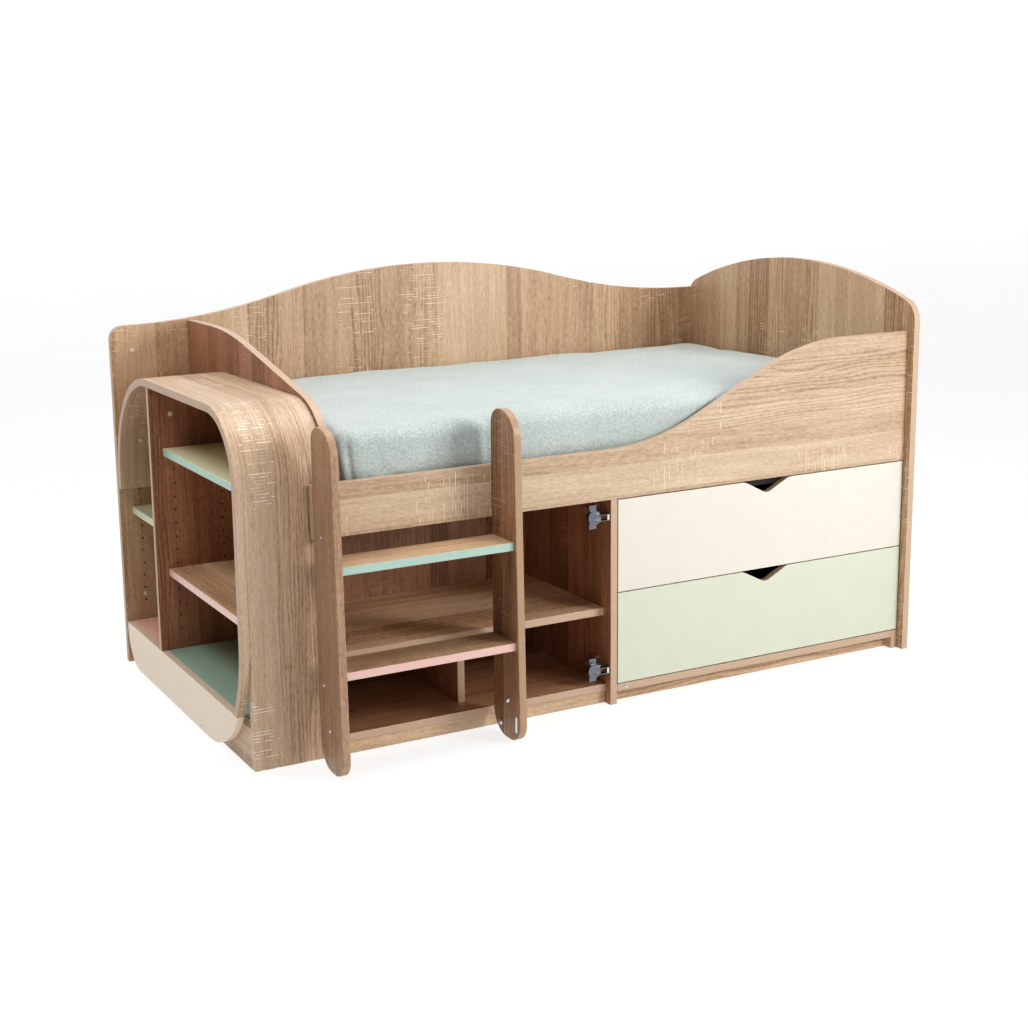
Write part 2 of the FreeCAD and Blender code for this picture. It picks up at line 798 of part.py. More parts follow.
def make_drawer(name, low, high):
    """One drawer: a front with a finger notch, a box behind it and a pair of runners."""
    left = divider_right + front_gap
    right = head_left - front_gap
    middle = (left + right) / 2
    slope_run = sine(notch_angle)
    slope_rise = 1 - cosine(notch_angle)
    straight = notch_depth - (notch_lip_radius + notch_root_radius) * slope_rise
    straight_run = straight * cosine(notch_angle) / slope_run
    root_run = notch_root_radius * slope_run
    lip_run = notch_lip_radius * slope_run
    half = root_run + straight_run + lip_run
    root_z = high - notch_depth + notch_root_radius * slope_rise
    lip_z = high - notch_lip_radius * slope_rise
    cut_board(f"{name}_drawer_front", "XZ_Plane", [
        (left, low),
        (right, low),
        (right, high),
        (middle + half, high),
        (middle + half - lip_run, lip_z, notch_lip_radius, 1),
        (middle + root_run, root_z),
        (middle - root_run, root_z, notch_root_radius, -1),
        (middle - half + lip_run, lip_z),
        (middle - half, high, notch_lip_radius, 1),
        (left, high),
    ], board)
    box_left = divider_right + runner_room
    box_right = side_left - runner_room
    box_low = low + drawer_lift
    inner = box_right - box_left - 2 * drawer_board
    label = f"{name}_drawer_left"
    keep(box(label, box_left, board, box_low, drawer_board, drawer_depth, drawer_side_height), label)
    label = f"{name}_drawer_right"
    keep(box(label, box_right - drawer_board, board, box_low, drawer_board, drawer_depth,
             drawer_side_height), label)
    label = f"{name}_drawer_back"
    keep(box(label, box_left + drawer_board, board + drawer_depth - drawer_board, box_low,
             inner, drawer_board, drawer_side_height), label)
    label = f"{name}_drawer_bottom"
    keep(box(label, box_left + drawer_board, board, box_low + drawer_floor_lift,
             inner, drawer_depth - drawer_board, thin_panel), label)
    make_runners(name, box_low + runner_lift, box_left, box_right)


def make_runners(name, low, box_left, box_right):
    """Channels on the carcass and bars on the drawer that run in them."""
    high = low + runner_height
    deep = runner_room - runner_side_gap
    channels = []
    for side, wall, way in (("left", divider_right, 1), ("right", side_left, -1)):
        body = doc.addObject("PartDesign::Body", f"{name}_channel_{side}")
        sketch = new_sketch(body, "XZ_Plane", "Section")
        web = wall + runner_wall * way
        lip = wall + deep * way
        steps = [
            (wall, low),
            (lip, low),
            (lip, low + runner_wall),
            (web, low + runner_wall),
            (web, high - runner_wall),
            (lip, high - runner_wall),
            (lip, high),
            (wall, high),
        ]
        draw_loop(sketch, steps)
        pad(body, sketch, runner_length, backwards=True)
        place(body, 0, behind_fronts, 0)
        channels.append(body)
    group(f"{name}_cabinet_runners", channels)
    bar = runner_room - runner_wall - runner_bar_gap
    bar_low = low + runner_wall + runner_gap
    bar_height = runner_height - 2 * (runner_wall + runner_gap)
    group(f"{name}_drawer_runners", [
        box(f"{name}_bar_left", box_left - bar, behind_fronts, bar_low, bar, runner_length, bar_height),
        box(f"{name}_bar_right", box_right, behind_fronts, bar_low, bar, runner_length, bar_height),
    ])


def make_cupboard():
    """Open cupboard between footboard and divider: bottom, shelf, partition, back and plinth."""
    wide = divider_left - foot_right
    keep(box("cupboard_bottom", foot_right, cupboard_setback, plinth_height, wide,
             unit_inside - cupboard_setback, board), "cupboard_bottom")
    shelf_under = cupboard_shelf_height - board
    keep(box("cupboard_shelf", foot_right, cupboard_shelf_setback, shelf_under, wide,
             unit_inside - cupboard_shelf_setback, board), "cupboard_shelf")
    keep(box("cupboard_partition", foot_right + partition_place, partition_setback, bottom_top, board,
             unit_inside - partition_setback, shelf_under - bottom_top), "cupboard_partition")
    keep(box("cupboard_back", foot_right, unit_inside, plinth_height, wide, thin_panel,
             rail_bottom - plinth_height), "cupboard_back")
    keep(box("cupboard_plinth", foot_right, plinth_setback, 0, wide, board, plinth_height), "cupboard_plinth")


def rounded(low_u, low_v, wide, tall, bend):
    """Steps of a rectangle with rounded corners."""
    high_u = low_u + wide
    high_v = low_v + tall
    return [
        (high_u - bend, low_v),
        (high_u, low_v + bend, bend, 1),
        (high_u, high_v - bend),
        (high_u - bend, high_v, bend, 1),
        (low_u + bend, high_v),
        (low_u, high_v - bend, bend, 1),
        (low_u, low_v + bend),
        (low_u + bend, low_v, bend, 1),
    ]


def make_hinge(name, level):
    """Concealed hinge: wing plate on the divider, arm on its boss, cup turning on a pin."""
    plate = new_body(f"{name}_hinge_plate")
    wing = new_sketch(plate, "YZ_Plane", "Wing")
    draw_loop(wing, rounded(hinge_plate_setback, -hinge_plate_height / 2, hinge_plate_width,
                            hinge_plate_height, hinge_plate_width * 0.4))
    pad(plate, wing, hinge_plate_thickness, backwards=True)
    boss = new_sketch(plate, "YZ_Plane", "Boss", -hinge_plate_thickness)
    boss_width = hinge_arm_width - 2 * hinge_boss_inset
    draw_loop(boss, rounded(hinge_plate_setback - hinge_boss_overhang, -boss_width / 2,
                            hinge_plate_width + 2 * hinge_boss_overhang, boss_width, hinge_boss_round))
    pad(plate, boss, hinge_boss_height, backwards=True)
    place(plate, divider_left, 0, level)

    arm = new_body(f"{name}_hinge_arm")
    seat = hinge_plate_thickness + hinge_boss_height
    cover = new_sketch(arm, "YZ_Plane", "Cover", -seat)
    draw_loop(cover, rounded(hinge_arm_setback, -hinge_arm_width / 2, hinge_arm_length, hinge_arm_width,
                             hinge_arm_width * 0.4))
    pad(arm, cover, hinge_arm_height, backwards=True)
    neck = new_sketch(arm, "XY_Plane", "Neck", -hinge_neck_width / 2)
    near_side = hinge_neck_near - hinge_pivot_side
    far_side = -hinge_pivot_side - hinge_neck_far
    tip = hinge_pivot_setback - hinge_neck_near
    draw_loop(neck, [
        (far_side, tip),
        (far_side, hinge_arm_setback - hinge_neck_slope),
        (-seat - hinge_neck_root, hinge_arm_setback),
        (-seat - hinge_neck_root, hinge_arm_setback + hinge_neck_lap),
        (near_side, hinge_arm_setback + hinge_neck_lap),
        (near_side, tip),
    ])
    pad(arm, neck, hinge_neck_width)
    hole = new_sketch(arm, "XY_Plane", "PinHole", -hinge_neck_width / 2)
    spot = FreeCAD.Vector(-hinge_pivot_side.value, hinge_pivot_setback.value, 0)
    ring = hole.addGeometry(Part.Circle(spot, FreeCAD.Vector(0, 0, 1), hinge_pin_radius.value), False)
    hold(hole, "Radius", (ring,), hinge_pin_radius, "pinr")
    hold_point(hole, ring, 3, -hinge_pivot_side, hinge_pivot_setback, "pin")
    doc.recompute()
    bore = arm.newObject("PartDesign::Pocket", "Bore")
    bore.Profile = hole
    bore.Reversed = True
    bind(bore, Length=hinge_neck_width)
    place(arm, divider_left, 0, level)

    make_hinge_cup(name, level)


def make_hinge_cup(name, level):
    """The part that sits in a door: cup, flange and two ears round the pin."""
    ear_low = hinge_neck_width / 2 + hinge_ear_gap
    cup_front = hinge_pivot_setback + hinge_cup_setback
    cup_x = divider_left - hinge_cup_side
    flange_y = cup_front + hinge_cup_depth - hinge_flange_thickness
    outside = rod(f"{name}_cup_wall", "y", cup_x, cup_front, level, hinge_cup_radius, hinge_cup_depth)
    hollow = rod(f"{name}_cup_hollow", "y", cup_x, cup_front + hinge_cup_wall, level,
                 hinge_cup_radius - hinge_cup_wall, hinge_cup_depth)
    cup = doc.addObject("Part::Cut", f"{name}_cup_shell")
    cup.Base = outside
    cup.Tool = hollow
    flange = box(f"{name}_cup_flange", cup_x - hinge_flange_width / 2, flange_y,
                 level - hinge_flange_height / 2, hinge_flange_width, hinge_flange_thickness,
                 hinge_flange_height)
    window = rod(f"{name}_cup_window", "y", cup_x, flange_y - cut_past, level,
                 hinge_cup_radius - hinge_cup_wall, hinge_flange_thickness + 2 * cut_past)
    ring = doc.addObject("Part::Cut", f"{name}_cup_ring")
    ring.Base = flange
    ring.Tool = window
    ears = []
    ear_right = divider_left - hinge_pivot_side + hinge_ear_margin
    ear_front = hinge_pivot_setback - hinge_ear_margin
    for side, start in (("top", level + ear_low), ("low", level - ear_low - hinge_ear_thickness)):
        ear = box(f"{name}_ear_{side}", cup_x, ear_front, start, ear_right - cup_x,
                  hinge_cup_depth + hinge_cup_setback - hinge_ear_margin, hinge_ear_thickness)
        bore = rod(f"{name}_ear_bore_{side}", "z", divider_left - hinge_pivot_side, hinge_pivot_setback,
                   start - cut_past, hinge_pin_radius + hinge_pin_gap, hinge_ear_thickness + 2 * cut_past)
        cut = doc.addObject("Part::Cut", f"{name}_ear_cut_{side}")
        cut.Base = ear
        cut.Tool = bore
        ears.append(cut)
    whole = doc.addObject("Part::MultiFuse", f"{name}_hinge_cup")
    whole.Shapes = [cup, ring] + ears
    keep(whole, f"{name}_hinge_cup")


def make_hinge_small_parts(levels):
    """Pivot pins and plate screws of both hinges."""
    pin_length = hinge_neck_width + 2 * (hinge_ear_gap + hinge_ear_thickness)
    pins = []
    screws = []
    for index, level in enumerate(levels):
        pins.append(rod(f"hinge_pin_{index}", "z", divider_left - hinge_pivot_side, hinge_pivot_setback,
                        level - pin_length / 2, hinge_pin_radius, pin_length))
        for side, way in (("top", 1), ("low", -1)):
            screws.append(rod(f"hinge_screw_{index}_{side}", "x",
                              divider_left - hinge_plate_thickness - screw_head,
                              hinge_plate_setback + hinge_plate_width / 2, level + hinge_screw_offset * way,
                              screw_radius, screw_head))
    group("hinge_pins", pins)
    group("hinge_screws", screws)


def make_edge_screws():
    """Chrome screw heads on the drawer unit's bottom edge, the kick plate and the shell's front leg."""
    edge = plinth_height + board / 2
    group("edge_screws", [
        rod("screw_bottom_left", "y", divider_right + screw_inset, -screw_head, edge,
            screw_radius, screw_head),
        rod("screw_bottom_right", "y", side_left - screw_inset, -screw_head, edge,
            screw_radius, screw_head),
        rod("screw_kick_rear", "x", kick_inset - screw_head, kick_screw_rear, kick_screw_height,
            screw_radius, screw_head),
        rod("screw_kick_front", "x", kick_inset - screw_head, kick_screw_front, kick_screw_height,
            screw_radius, screw_head),
        rod("screw_leg", "x", rim_depth - screw_head, shell_front + board / 2, leg_screw_height,
            screw_radius, screw_head),
    ])


def main():
    """Build every sub-part, check it and write its file."""
    make_back_panel()
    make_headboard()
    make_footboard()
    make_front_rail()
    make_bed_base()
    make_mattress()
    make_bookcase()
    make_ladder()
    make_drawer_unit()
    make_drawer("upper", front_split + front_gap / 2, rail_bottom - front_gap)
    make_drawer("lower", bottom_top + front_gap, front_split - front_gap / 2)
    make_cupboard()
    hinge_levels = (rail_bottom - hinge_margin, bottom_top + hinge_margin)
    make_hinge("upper", hinge_levels[0])
    make_hinge("lower", hinge_levels[1])
    make_hinge_small_parts(hinge_levels)
    make_edge_screws()
    doc.recompute()
    for item in doc.Objects:
        if "Invalid" in item.State or "Error" in item.State:
            raise RuntimeError(f"{item.Label} did not build")
    os.makedirs("parts", exist_ok=True)
    for item in nodes:
        if item.Shape.isNull() or not item.Shape.isValid():
            raise RuntimeError(f"{item.Label} has no sound shape")
        item.Shape.exportStep(f"parts/{item.Label}.step")


main()
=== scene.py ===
"""A child's raised bed in sawn-oak board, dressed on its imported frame.

The boards are softened copies of the frame's own solids, the mattress is a sheeted slab of cloth,
and the fittings are turned heads. Lengths are metres, except where a name ends in _mm or _px.
"""

import json
import logging
import math
from dataclasses import dataclass
from enum import Enum
from functools import cache

import bmesh
import bpy
import numpy as np
from mathutils import Matrix, Vector


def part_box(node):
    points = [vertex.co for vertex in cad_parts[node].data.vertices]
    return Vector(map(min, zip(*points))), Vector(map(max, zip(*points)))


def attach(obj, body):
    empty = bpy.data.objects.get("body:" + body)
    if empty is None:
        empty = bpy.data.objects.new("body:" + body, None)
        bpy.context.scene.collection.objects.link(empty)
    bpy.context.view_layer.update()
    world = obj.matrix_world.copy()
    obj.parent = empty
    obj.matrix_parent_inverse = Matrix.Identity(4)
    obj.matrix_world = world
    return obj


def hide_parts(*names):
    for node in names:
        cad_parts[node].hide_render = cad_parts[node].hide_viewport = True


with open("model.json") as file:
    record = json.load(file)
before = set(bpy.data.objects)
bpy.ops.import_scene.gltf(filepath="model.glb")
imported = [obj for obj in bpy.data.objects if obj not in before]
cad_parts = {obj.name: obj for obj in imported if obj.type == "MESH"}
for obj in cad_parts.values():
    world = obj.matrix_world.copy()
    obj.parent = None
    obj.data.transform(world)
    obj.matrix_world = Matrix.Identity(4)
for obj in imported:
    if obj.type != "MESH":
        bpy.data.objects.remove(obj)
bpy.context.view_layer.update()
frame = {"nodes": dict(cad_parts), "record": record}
LOG = logging.getLogger("modular_bed")
MM = 0.001

# Points of a solid that are nearer than the weld are one point.
WELD = 0.002 * MM

# A board's edge band begins behind its face skin.
FACE_SKIN = 0.55 * MM

# Each board starts at one of these stretches of the oak print, which are this far apart.
PRINT_STRETCHES = 97
PRINT_STEP = 0.37

# Sockets of a Mix node in its colour mode.
MIX_FACTOR, MIX_A, MIX_B, MIX_COLOUR = 0, 6, 7, 2

Tree = bpy.types.NodeTree
Socket = bpy.types.NodeSocket
Point = tuple[float, float, float]
Tones = dict[str, str | float | bool]

BODY_OF = {
    node: body for body, nodes in frame["record"]["behaviour"]["bodies"].items() for node in nodes
}


class Axis(Enum):
    """The three directions of the frame, by their place in a vector."""

    X = 0
    Y = 1
    Z = 2


class Recess(Enum):
    """Drive that is sunk in a fastener's head."""

    NONE = "none"
    CROSS = "cross"
    HEXAGON = "hexagon"


def linear(code: str) -> tuple[float, float, float, float]:
    """Turn an sRGB hex value into linear light.

    Args:
        code: colour as "#rrggbb".

    Returns:
        Red, green, blue and a full alpha.
    """
    raw = np.array([int(code[at:at + 2], 16) for at in (1, 3, 5)]) / 255
    red, green, blue = np.where(raw <= 0.04045, raw / 12.92, ((raw + 0.055) / 1.055) ** 2.4).tolist()
    return red, green, blue, 1.0


def add(
    tree: Tree,
    kind: str,
    settings: dict[str, object] | None = None,
    feeds: dict[int | str, object] | None = None,
    out: int | str = 0,
) -> Socket:
    """Add one shader node with its settings and links.

    Args:
        tree: node tree that gets the node.
        kind: Blender's class name without its ShaderNode prefix.
        settings: attributes of the node.
        feeds: inputs by name or place, each a constant or another node's output.
        out: output to hand back.

    Returns:
        The chosen output. Its node attribute is the node itself.
    """
    item = tree.nodes.new(f"ShaderNode{kind}")
    for name, value in (settings or {}).items():
        setattr(item, name, value)
    for name, value in (feeds or {}).items():
        if isinstance(value, Socket):
            tree.links.new(value, item.inputs[name])
        else:
            item.inputs[name].default_value = value
    return item.outputs[out]


def start(name: str) -> tuple[bpy.types.Material, Tree]:
    """Start a material whose node tree is empty.

    Args:
        name: the material's name.

    Returns:
        The material and its node tree.
    """
    material = bpy.data.materials.new(name)
    material.use_nodes = True
    material.node_tree.nodes.clear()
    return material, material.node_tree


def close(tree: Tree, feeds: dict[int | str, object]) -> None:
    """Close a material with its shader and its output.

    Args:
        tree: node tree of the material.
        feeds: the shader's inputs by name, each a constant or another node's output.
    """
    shader = add(tree, "BsdfPrincipled", {}, feeds)
    output = tree.nodes.new("ShaderNodeOutputMaterial")
    tree.links.new(shader, output.inputs["Surface"])


def between_faces(tree: Tree, through: Socket, span: tuple[float, float]) -> Socket:
    """One on a board's edges, between its two faces, and zero on the faces.

    Args:
        tree: node tree of the material.
        through: distance through the board.
        span: places of the two faces.

    Returns:
        The mask's socket.
    """
    low = add(tree, "Math", {"operation": "SUBTRACT"}, {0: through, 1: span[0]})
    high = add(tree, "Math", {"operation": "SUBTRACT"}, {0: span[1], 1: through})
    near = add(tree, "Math", {"operation": "MINIMUM"}, {0: low, 1: high})
    return add(tree, "Math", {"operation": "GREATER_THAN"}, {0: near, 1: FACE_SKIN})


@dataclass(frozen=True)
class Finish:
    """What a surface is made of. Each kind of finish makes its own material."""

    name: str

    def make(self) -> bpy.types.Material:
        """Build the material."""
        raise NotImplementedError


@dataclass(frozen=True)
class SawnOak(Finish):
    """Oak-print melamine board: decor paper pressed with fine pores under a satin lacquer.

    It shows upright strips of slightly different tone, long fibres, a few flamed figures and patches
    of short pale saw marks across the grain. The edges carry a plain beige band. A drilled board has it
    only up to banded_to, measured across the grain, and beyond that its drilled holes are painted dark
    as painted shade.
    The pores are drawn coarser than real ones, so that they show.
    """

    grain: Axis
    face: Axis
    span: tuple[float, float]
    shift: float = 0.0
    edge: str = "#c2a992"
    dark: str = "#92745a"
    middle: str = "#bfa285"
    light: str = "#d8c2a6"
    mark: str = "#e8dac4"
    # Painted shade for the drilled holes beyond banded_to.
    hole_shade: str = "#2a1d15"
    marks: float = 1.0
    banded: bool = True
    banded_to: float | None = None
    strip_mm: float = 78.0
    strip_depth: float = 0.22
    slant: float = 1.0
    pore_mm: float = 2.6
    fibre_mm: float = 150.0
    streak_mm: tuple[float, float] = (24.0, 420.0)
    rings_per_m: Point = (29.0, 3.8, 4.0)
    patches_per_m: Point = (5.4, 3.3, 1.0)
    patch_rarity: float = 0.42
    ragged_per_m: Point = (24.0, 60.0, 1.0)
    mark_gap_mm: float = 7.5
    mark_share: float = 0.22
    dash_mm: float = 38.0
    roughness: float = 0.42

    def axes(self, tree: Tree) -> tuple[Socket, ...]:
        """Distances along the grain, across it and through the board.

        Args:
            tree: node tree of the material.

        Returns:
            The three distances as sockets, in metres.
        """
        split = add(tree, "SeparateXYZ", {}, {0: add(tree, "TexCoord", out="Object")}).node
        cross = next(axis for axis in Axis if axis not in (self.grain, self.face))
        return tuple(split.outputs[axis.value] for axis in (self.grain, cross, self.face))

    def is_edge(self, tree: Tree, through: Socket) -> Socket:
        """One where the edge band is, zero on the faces."""
        return between_faces(tree, through, self.span)

    def saw_marks(self, tree: Tree, along: Socket, across: Socket) -> Socket:
        """Patches of short lines across the grain, at even gaps and broken at random.

        A patch is a cell of random squares with a ragged rim. A line is the middle share of each gap, its
        dashes come from noise that starts afresh on each row, and its strength is that row's own luck.

        Args:
            tree: node tree of the material.
            along: distance along the grain.
            across: distance across the grain.

        Returns:
            The strength of the marks as a socket.
        """
        row_jump = 3.71
        spot = add(tree, "CombineXYZ", {}, {0: across, 1: along, 2: self.shift})
        cell = add(tree, "TexVoronoi", {"voronoi_dimensions": "2D", "distance": "CHEBYCHEV"}, {
            "Vector": add(tree, "VectorMath", {"operation": "MULTIPLY"}, {0: spot, 1: self.patches_per_m}),
            "Scale": 1.0, "Randomness": 0.9}, "Distance").node
        chance = add(tree, "SeparateColor", {}, {0: cell.outputs["Color"]})
        there = add(tree, "Math", {"operation": "GREATER_THAN"}, {0: chance, 1: self.patch_rarity})
        ragged = add(tree, "TexNoise", {}, {
            "Vector": add(tree, "VectorMath", {"operation": "MULTIPLY"}, {0: spot, 1: self.ragged_per_m}),
            "Scale": 1.0, "Detail": 1.0})
        reach = add(tree, "Math", {"operation": "MULTIPLY_ADD"}, {0: ragged, 1: 0.5, 2: 0.02})
        inside = add(tree, "Math", {"operation": "LESS_THAN"}, {0: cell.outputs["Distance"], 1: reach})
        count = add(tree, "Math", {"operation": "DIVIDE"}, {0: along, 1: self.mark_gap_mm * MM})
        row = add(tree, "Math", {"operation": "FLOOR"}, {0: count})
        part = add(tree, "Math", {"operation": "FRACT"}, {0: count})
        off = add(tree, "Math", {"operation": "SUBTRACT"}, {0: part, 1: 0.5})
        line = add(tree, "Math", {"operation": "LESS_THAN"}, {
            0: add(tree, "Math", {"operation": "ABSOLUTE"}, {0: off}), 1: self.mark_share / 2})
        broken = add(tree, "TexNoise", {"noise_dimensions": "2D"}, {
            "Vector": add(tree, "CombineXYZ", {}, {
                0: add(tree, "Math", {"operation": "DIVIDE"}, {0: across, 1: self.dash_mm * MM}),
                1: add(tree, "Math", {"operation": "MULTIPLY"}, {0: row, 1: row_jump})}),
            "Scale": 1.0, "Detail": 1.0})
        dash = add(tree, "MapRange", {}, {
            "Value": broken, "From Min": 0.44, "From Max": 0.56, "To Max": self.marks})
        luck = add(tree, "TexWhiteNoise", {"noise_dimensions": "2D"}, {
            "Vector": add(tree, "CombineXYZ", {}, {0: row, 1: chance})}, "Value")
        amount = add(tree, "Math", {"operation": "MULTIPLY"}, {0: there, 1: inside})
        for share in (line, dash, luck):
            amount = add(tree, "Math", {"operation": "MULTIPLY"}, {0: amount, 1: share})
        return amount

    def figure(self, tree: Tree, along: Socket, across: Socket) -> tuple[Socket, Socket]:
        """Tone of the print: strips, streaks, fibres and pores, with flamed rings on some strips.

        Args:
            tree: node tree of the material.
            along: distance along the grain.
            across: distance across the grain.

        Returns:
            The tone, and the pores alone.
        """
        strip_jump = 9.0
        strip = add(tree, "TexVoronoi", {"voronoi_dimensions": "1D"}, {
            "W": across, "Scale": 1 / (self.strip_mm * MM)}, "Color")
        own, flame, shade = add(tree, "SeparateColor", {}, {0: strip}).node.outputs
        place = add(tree, "CombineXYZ", {}, {0: across, 1: along, 2: own})
        layers = []
        for wide_mm, long_mm, detail in (
            (self.pore_mm, 6 * self.pore_mm, 2.0), (3 * self.pore_mm, self.fibre_mm, 3.0),
            (*self.streak_mm, 2.0),
        ):
            stretch = (1 / (wide_mm * MM), 1 / (long_mm * MM), strip_jump)
            layers.append(add(tree, "TexNoise", {}, {
                "Vector": add(tree, "VectorMath", {"operation": "MULTIPLY"}, {0: place, 1: stretch}),
                "Scale": 1.0, "Detail": detail, "Roughness": 0.6}))
        pores, fibre, streak = layers
        rings = add(tree, "TexWave", {"wave_type": "BANDS", "bands_direction": "X"}, {
            "Vector": add(tree, "VectorMath", {"operation": "MULTIPLY"}, {0: place, 1: self.rings_per_m}),
            "Scale": 1.0, "Distortion": 18.0, "Detail": 1.5, "Detail Scale": 0.6}, "Fac")
        lines = add(tree, "MapRange", {}, {"Value": rings, "From Min": 0.45})
        flamed = add(tree, "MapRange", {}, {
            "Value": flame, "From Min": 0.5, "From Max": 0.75, "To Min": 0.05})
        ringed = add(tree, "Math", {"operation": "MULTIPLY"}, {0: lines, 1: flamed})
        tone = add(tree, "Math", {"operation": "MULTIPLY_ADD"}, {
            0: shade, 1: self.strip_depth, 2: -0.05 - self.strip_depth / 2})
        for layer, weight in ((pores, 0.55), (fibre, 0.30), (streak, 0.34), (ringed, -0.15)):
            tone = add(tree, "Math", {"operation": "MULTIPLY_ADD"}, {0: layer, 1: weight, 2: tone})
        return tone, pores

    def band(self, tree: Tree, across: Socket, pores: Socket) -> Socket:
        """Colour of the edge band, a little uneven, and of the painted shade in drilled holes.

        Args:
            tree: node tree of the material.
            across: distance across the grain.
            pores: the print's pores, which make the band uneven.

        Returns:
            The colour's socket.
        """
        worn = add(tree, "MapRange", {}, {
            "Value": pores, "From Min": 0.3, "From Max": 0.7, "To Min": 0.93, "To Max": 1.03})
        colour = add(tree, "Mix", {"data_type": "RGBA", "blend_type": "MULTIPLY"}, {
            MIX_FACTOR: 1.0, MIX_A: linear(self.edge), MIX_B: worn}, MIX_COLOUR)
        if self.banded_to is None:
            return colour
        # Beyond banded_to the surfaces inside the board get painted shade.
        at_end = add(tree, "Math", {"operation": "LESS_THAN"}, {0: across, 1: self.banded_to})
        return add(tree, "Mix", {"data_type": "RGBA"}, {
            MIX_FACTOR: at_end, MIX_A: linear(self.hole_shade), MIX_B: colour}, MIX_COLOUR)

    def make(self) -> bpy.types.Material:
        """Build the board's material."""
        material, tree = start(self.name)
        along, across, through = self.axes(tree)
        moved = add(tree, "Math", {"operation": "ADD"}, {0: across, 1: self.shift})
        moved = add(tree, "Math", {"operation": "MULTIPLY_ADD"}, {0: through, 1: self.slant, 2: moved})
        tone, pores = self.figure(tree, along, moved)
        ramp = add(tree, "ValToRGB", {}, {0: tone})
        stops = ramp.node.color_ramp.elements
        stops[0].position = 0.26
        stops[0].color = linear(self.dark)
        stops[1].position = 0.80
        stops[1].color = linear(self.light)
        stops.new(0.52).color = linear(self.middle)
        sawn = self.saw_marks(tree, along, moved)
        colour = add(tree, "Mix", {"data_type": "RGBA"}, {
            MIX_FACTOR: sawn, MIX_A: ramp, MIX_B: linear(self.mark)}, MIX_COLOUR)
        if self.banded:
            colour = add(tree, "Mix", {"data_type": "RGBA"}, {
                MIX_FACTOR: self.is_edge(tree, through), MIX_A: colour,
                MIX_B: self.band(tree, across, pores)}, MIX_COLOUR)
        height = add(tree, "Math", {"operation": "MULTIPLY_ADD"}, {0: sawn, 1: 0.5, 2: pores})
        close(tree, {
            "Base Color": colour,
            "Roughness": add(tree, "Math", {"operation": "MULTIPLY_ADD"}, {
                0: pores, 1: 0.16, 2: self.roughness - 0.08}),
            "Specular IOR Level": 0.7,
            "Normal": add(tree, "Bump", {}, {"Strength": 0.22, "Distance": 0.4 * MM, "Height": height}),
        })
        return material


@dataclass(frozen=True)
class Bend:
    """Centre and outer radius of one of the shell's bends, seen along X."""

    y: float
    z: float
    radius: float


@dataclass(frozen=True)
class BentOak(SawnOak):
    """The same board bent over the bookcase, so that its grain runs round the bends."""

    dark: str = "#987b62"
    middle: str = "#c2a88e"
    light: str = "#d9c7b0"
    mark: str = "#f0e6d6"
    marks: float = 1.5
    slant: float = 0.4
    strip_depth: float = 0.08
    front: Bend = Bend(-0.222, 0.639, 0.165)
    rear: Bend = Bend(0.232, 0.519, 0.285)

    def axes(self, tree: Tree) -> tuple[Socket, ...]:
        """Length along the bent path, distance across it and distance from the open end.

        The length is the height on the leg, plus radius times angle in each bend, plus the run on top.

        Args:
            tree: node tree of the material.

        Returns:
            The three distances as sockets, in metres.
        """
        split = add(tree, "SeparateXYZ", {}, {0: add(tree, "TexCoord", out="Object")}).node
        across, depth, height = split.outputs
        length = add(tree, "Math", {"operation": "MINIMUM"}, {0: height, 1: self.front.z})
        for bend in (self.front, self.rear):
            rise = add(tree, "Math", {"operation": "SUBTRACT"}, {0: height, 1: bend.z})
            run = add(tree, "Math", {"operation": "SUBTRACT"}, {0: depth, 1: bend.y})
            if bend is self.front:
                back = add(tree, "Math", {"operation": "MULTIPLY"}, {0: run, 1: -1.0})
                angle = add(tree, "Math", {"operation": "ARCTAN2"}, {0: rise, 1: back})
            else:
                angle = add(tree, "Math", {"operation": "ARCTAN2"}, {0: run, 1: rise})
            turned_by = add(tree, "Clamp", {}, {"Value": angle, "Max": math.pi / 2})
            length = add(tree, "Math", {"operation": "MULTIPLY_ADD"}, {
                0: turned_by, 1: bend.radius, 2: length})
        over = add(tree, "Clamp", {}, {"Value": depth, "Min": self.front.y, "Max": self.rear.y})
        return add(tree, "Math", {"operation": "ADD"}, {0: length, 1: over}), across, across

    def is_edge(self, tree: Tree, through: Socket) -> Socket:
        """One on the open end, which is the start of the span, and zero behind it."""
        return add(tree, "Math", {"operation": "LESS_THAN"}, {0: through, 1: self.span[0] + 0.5 * MM})


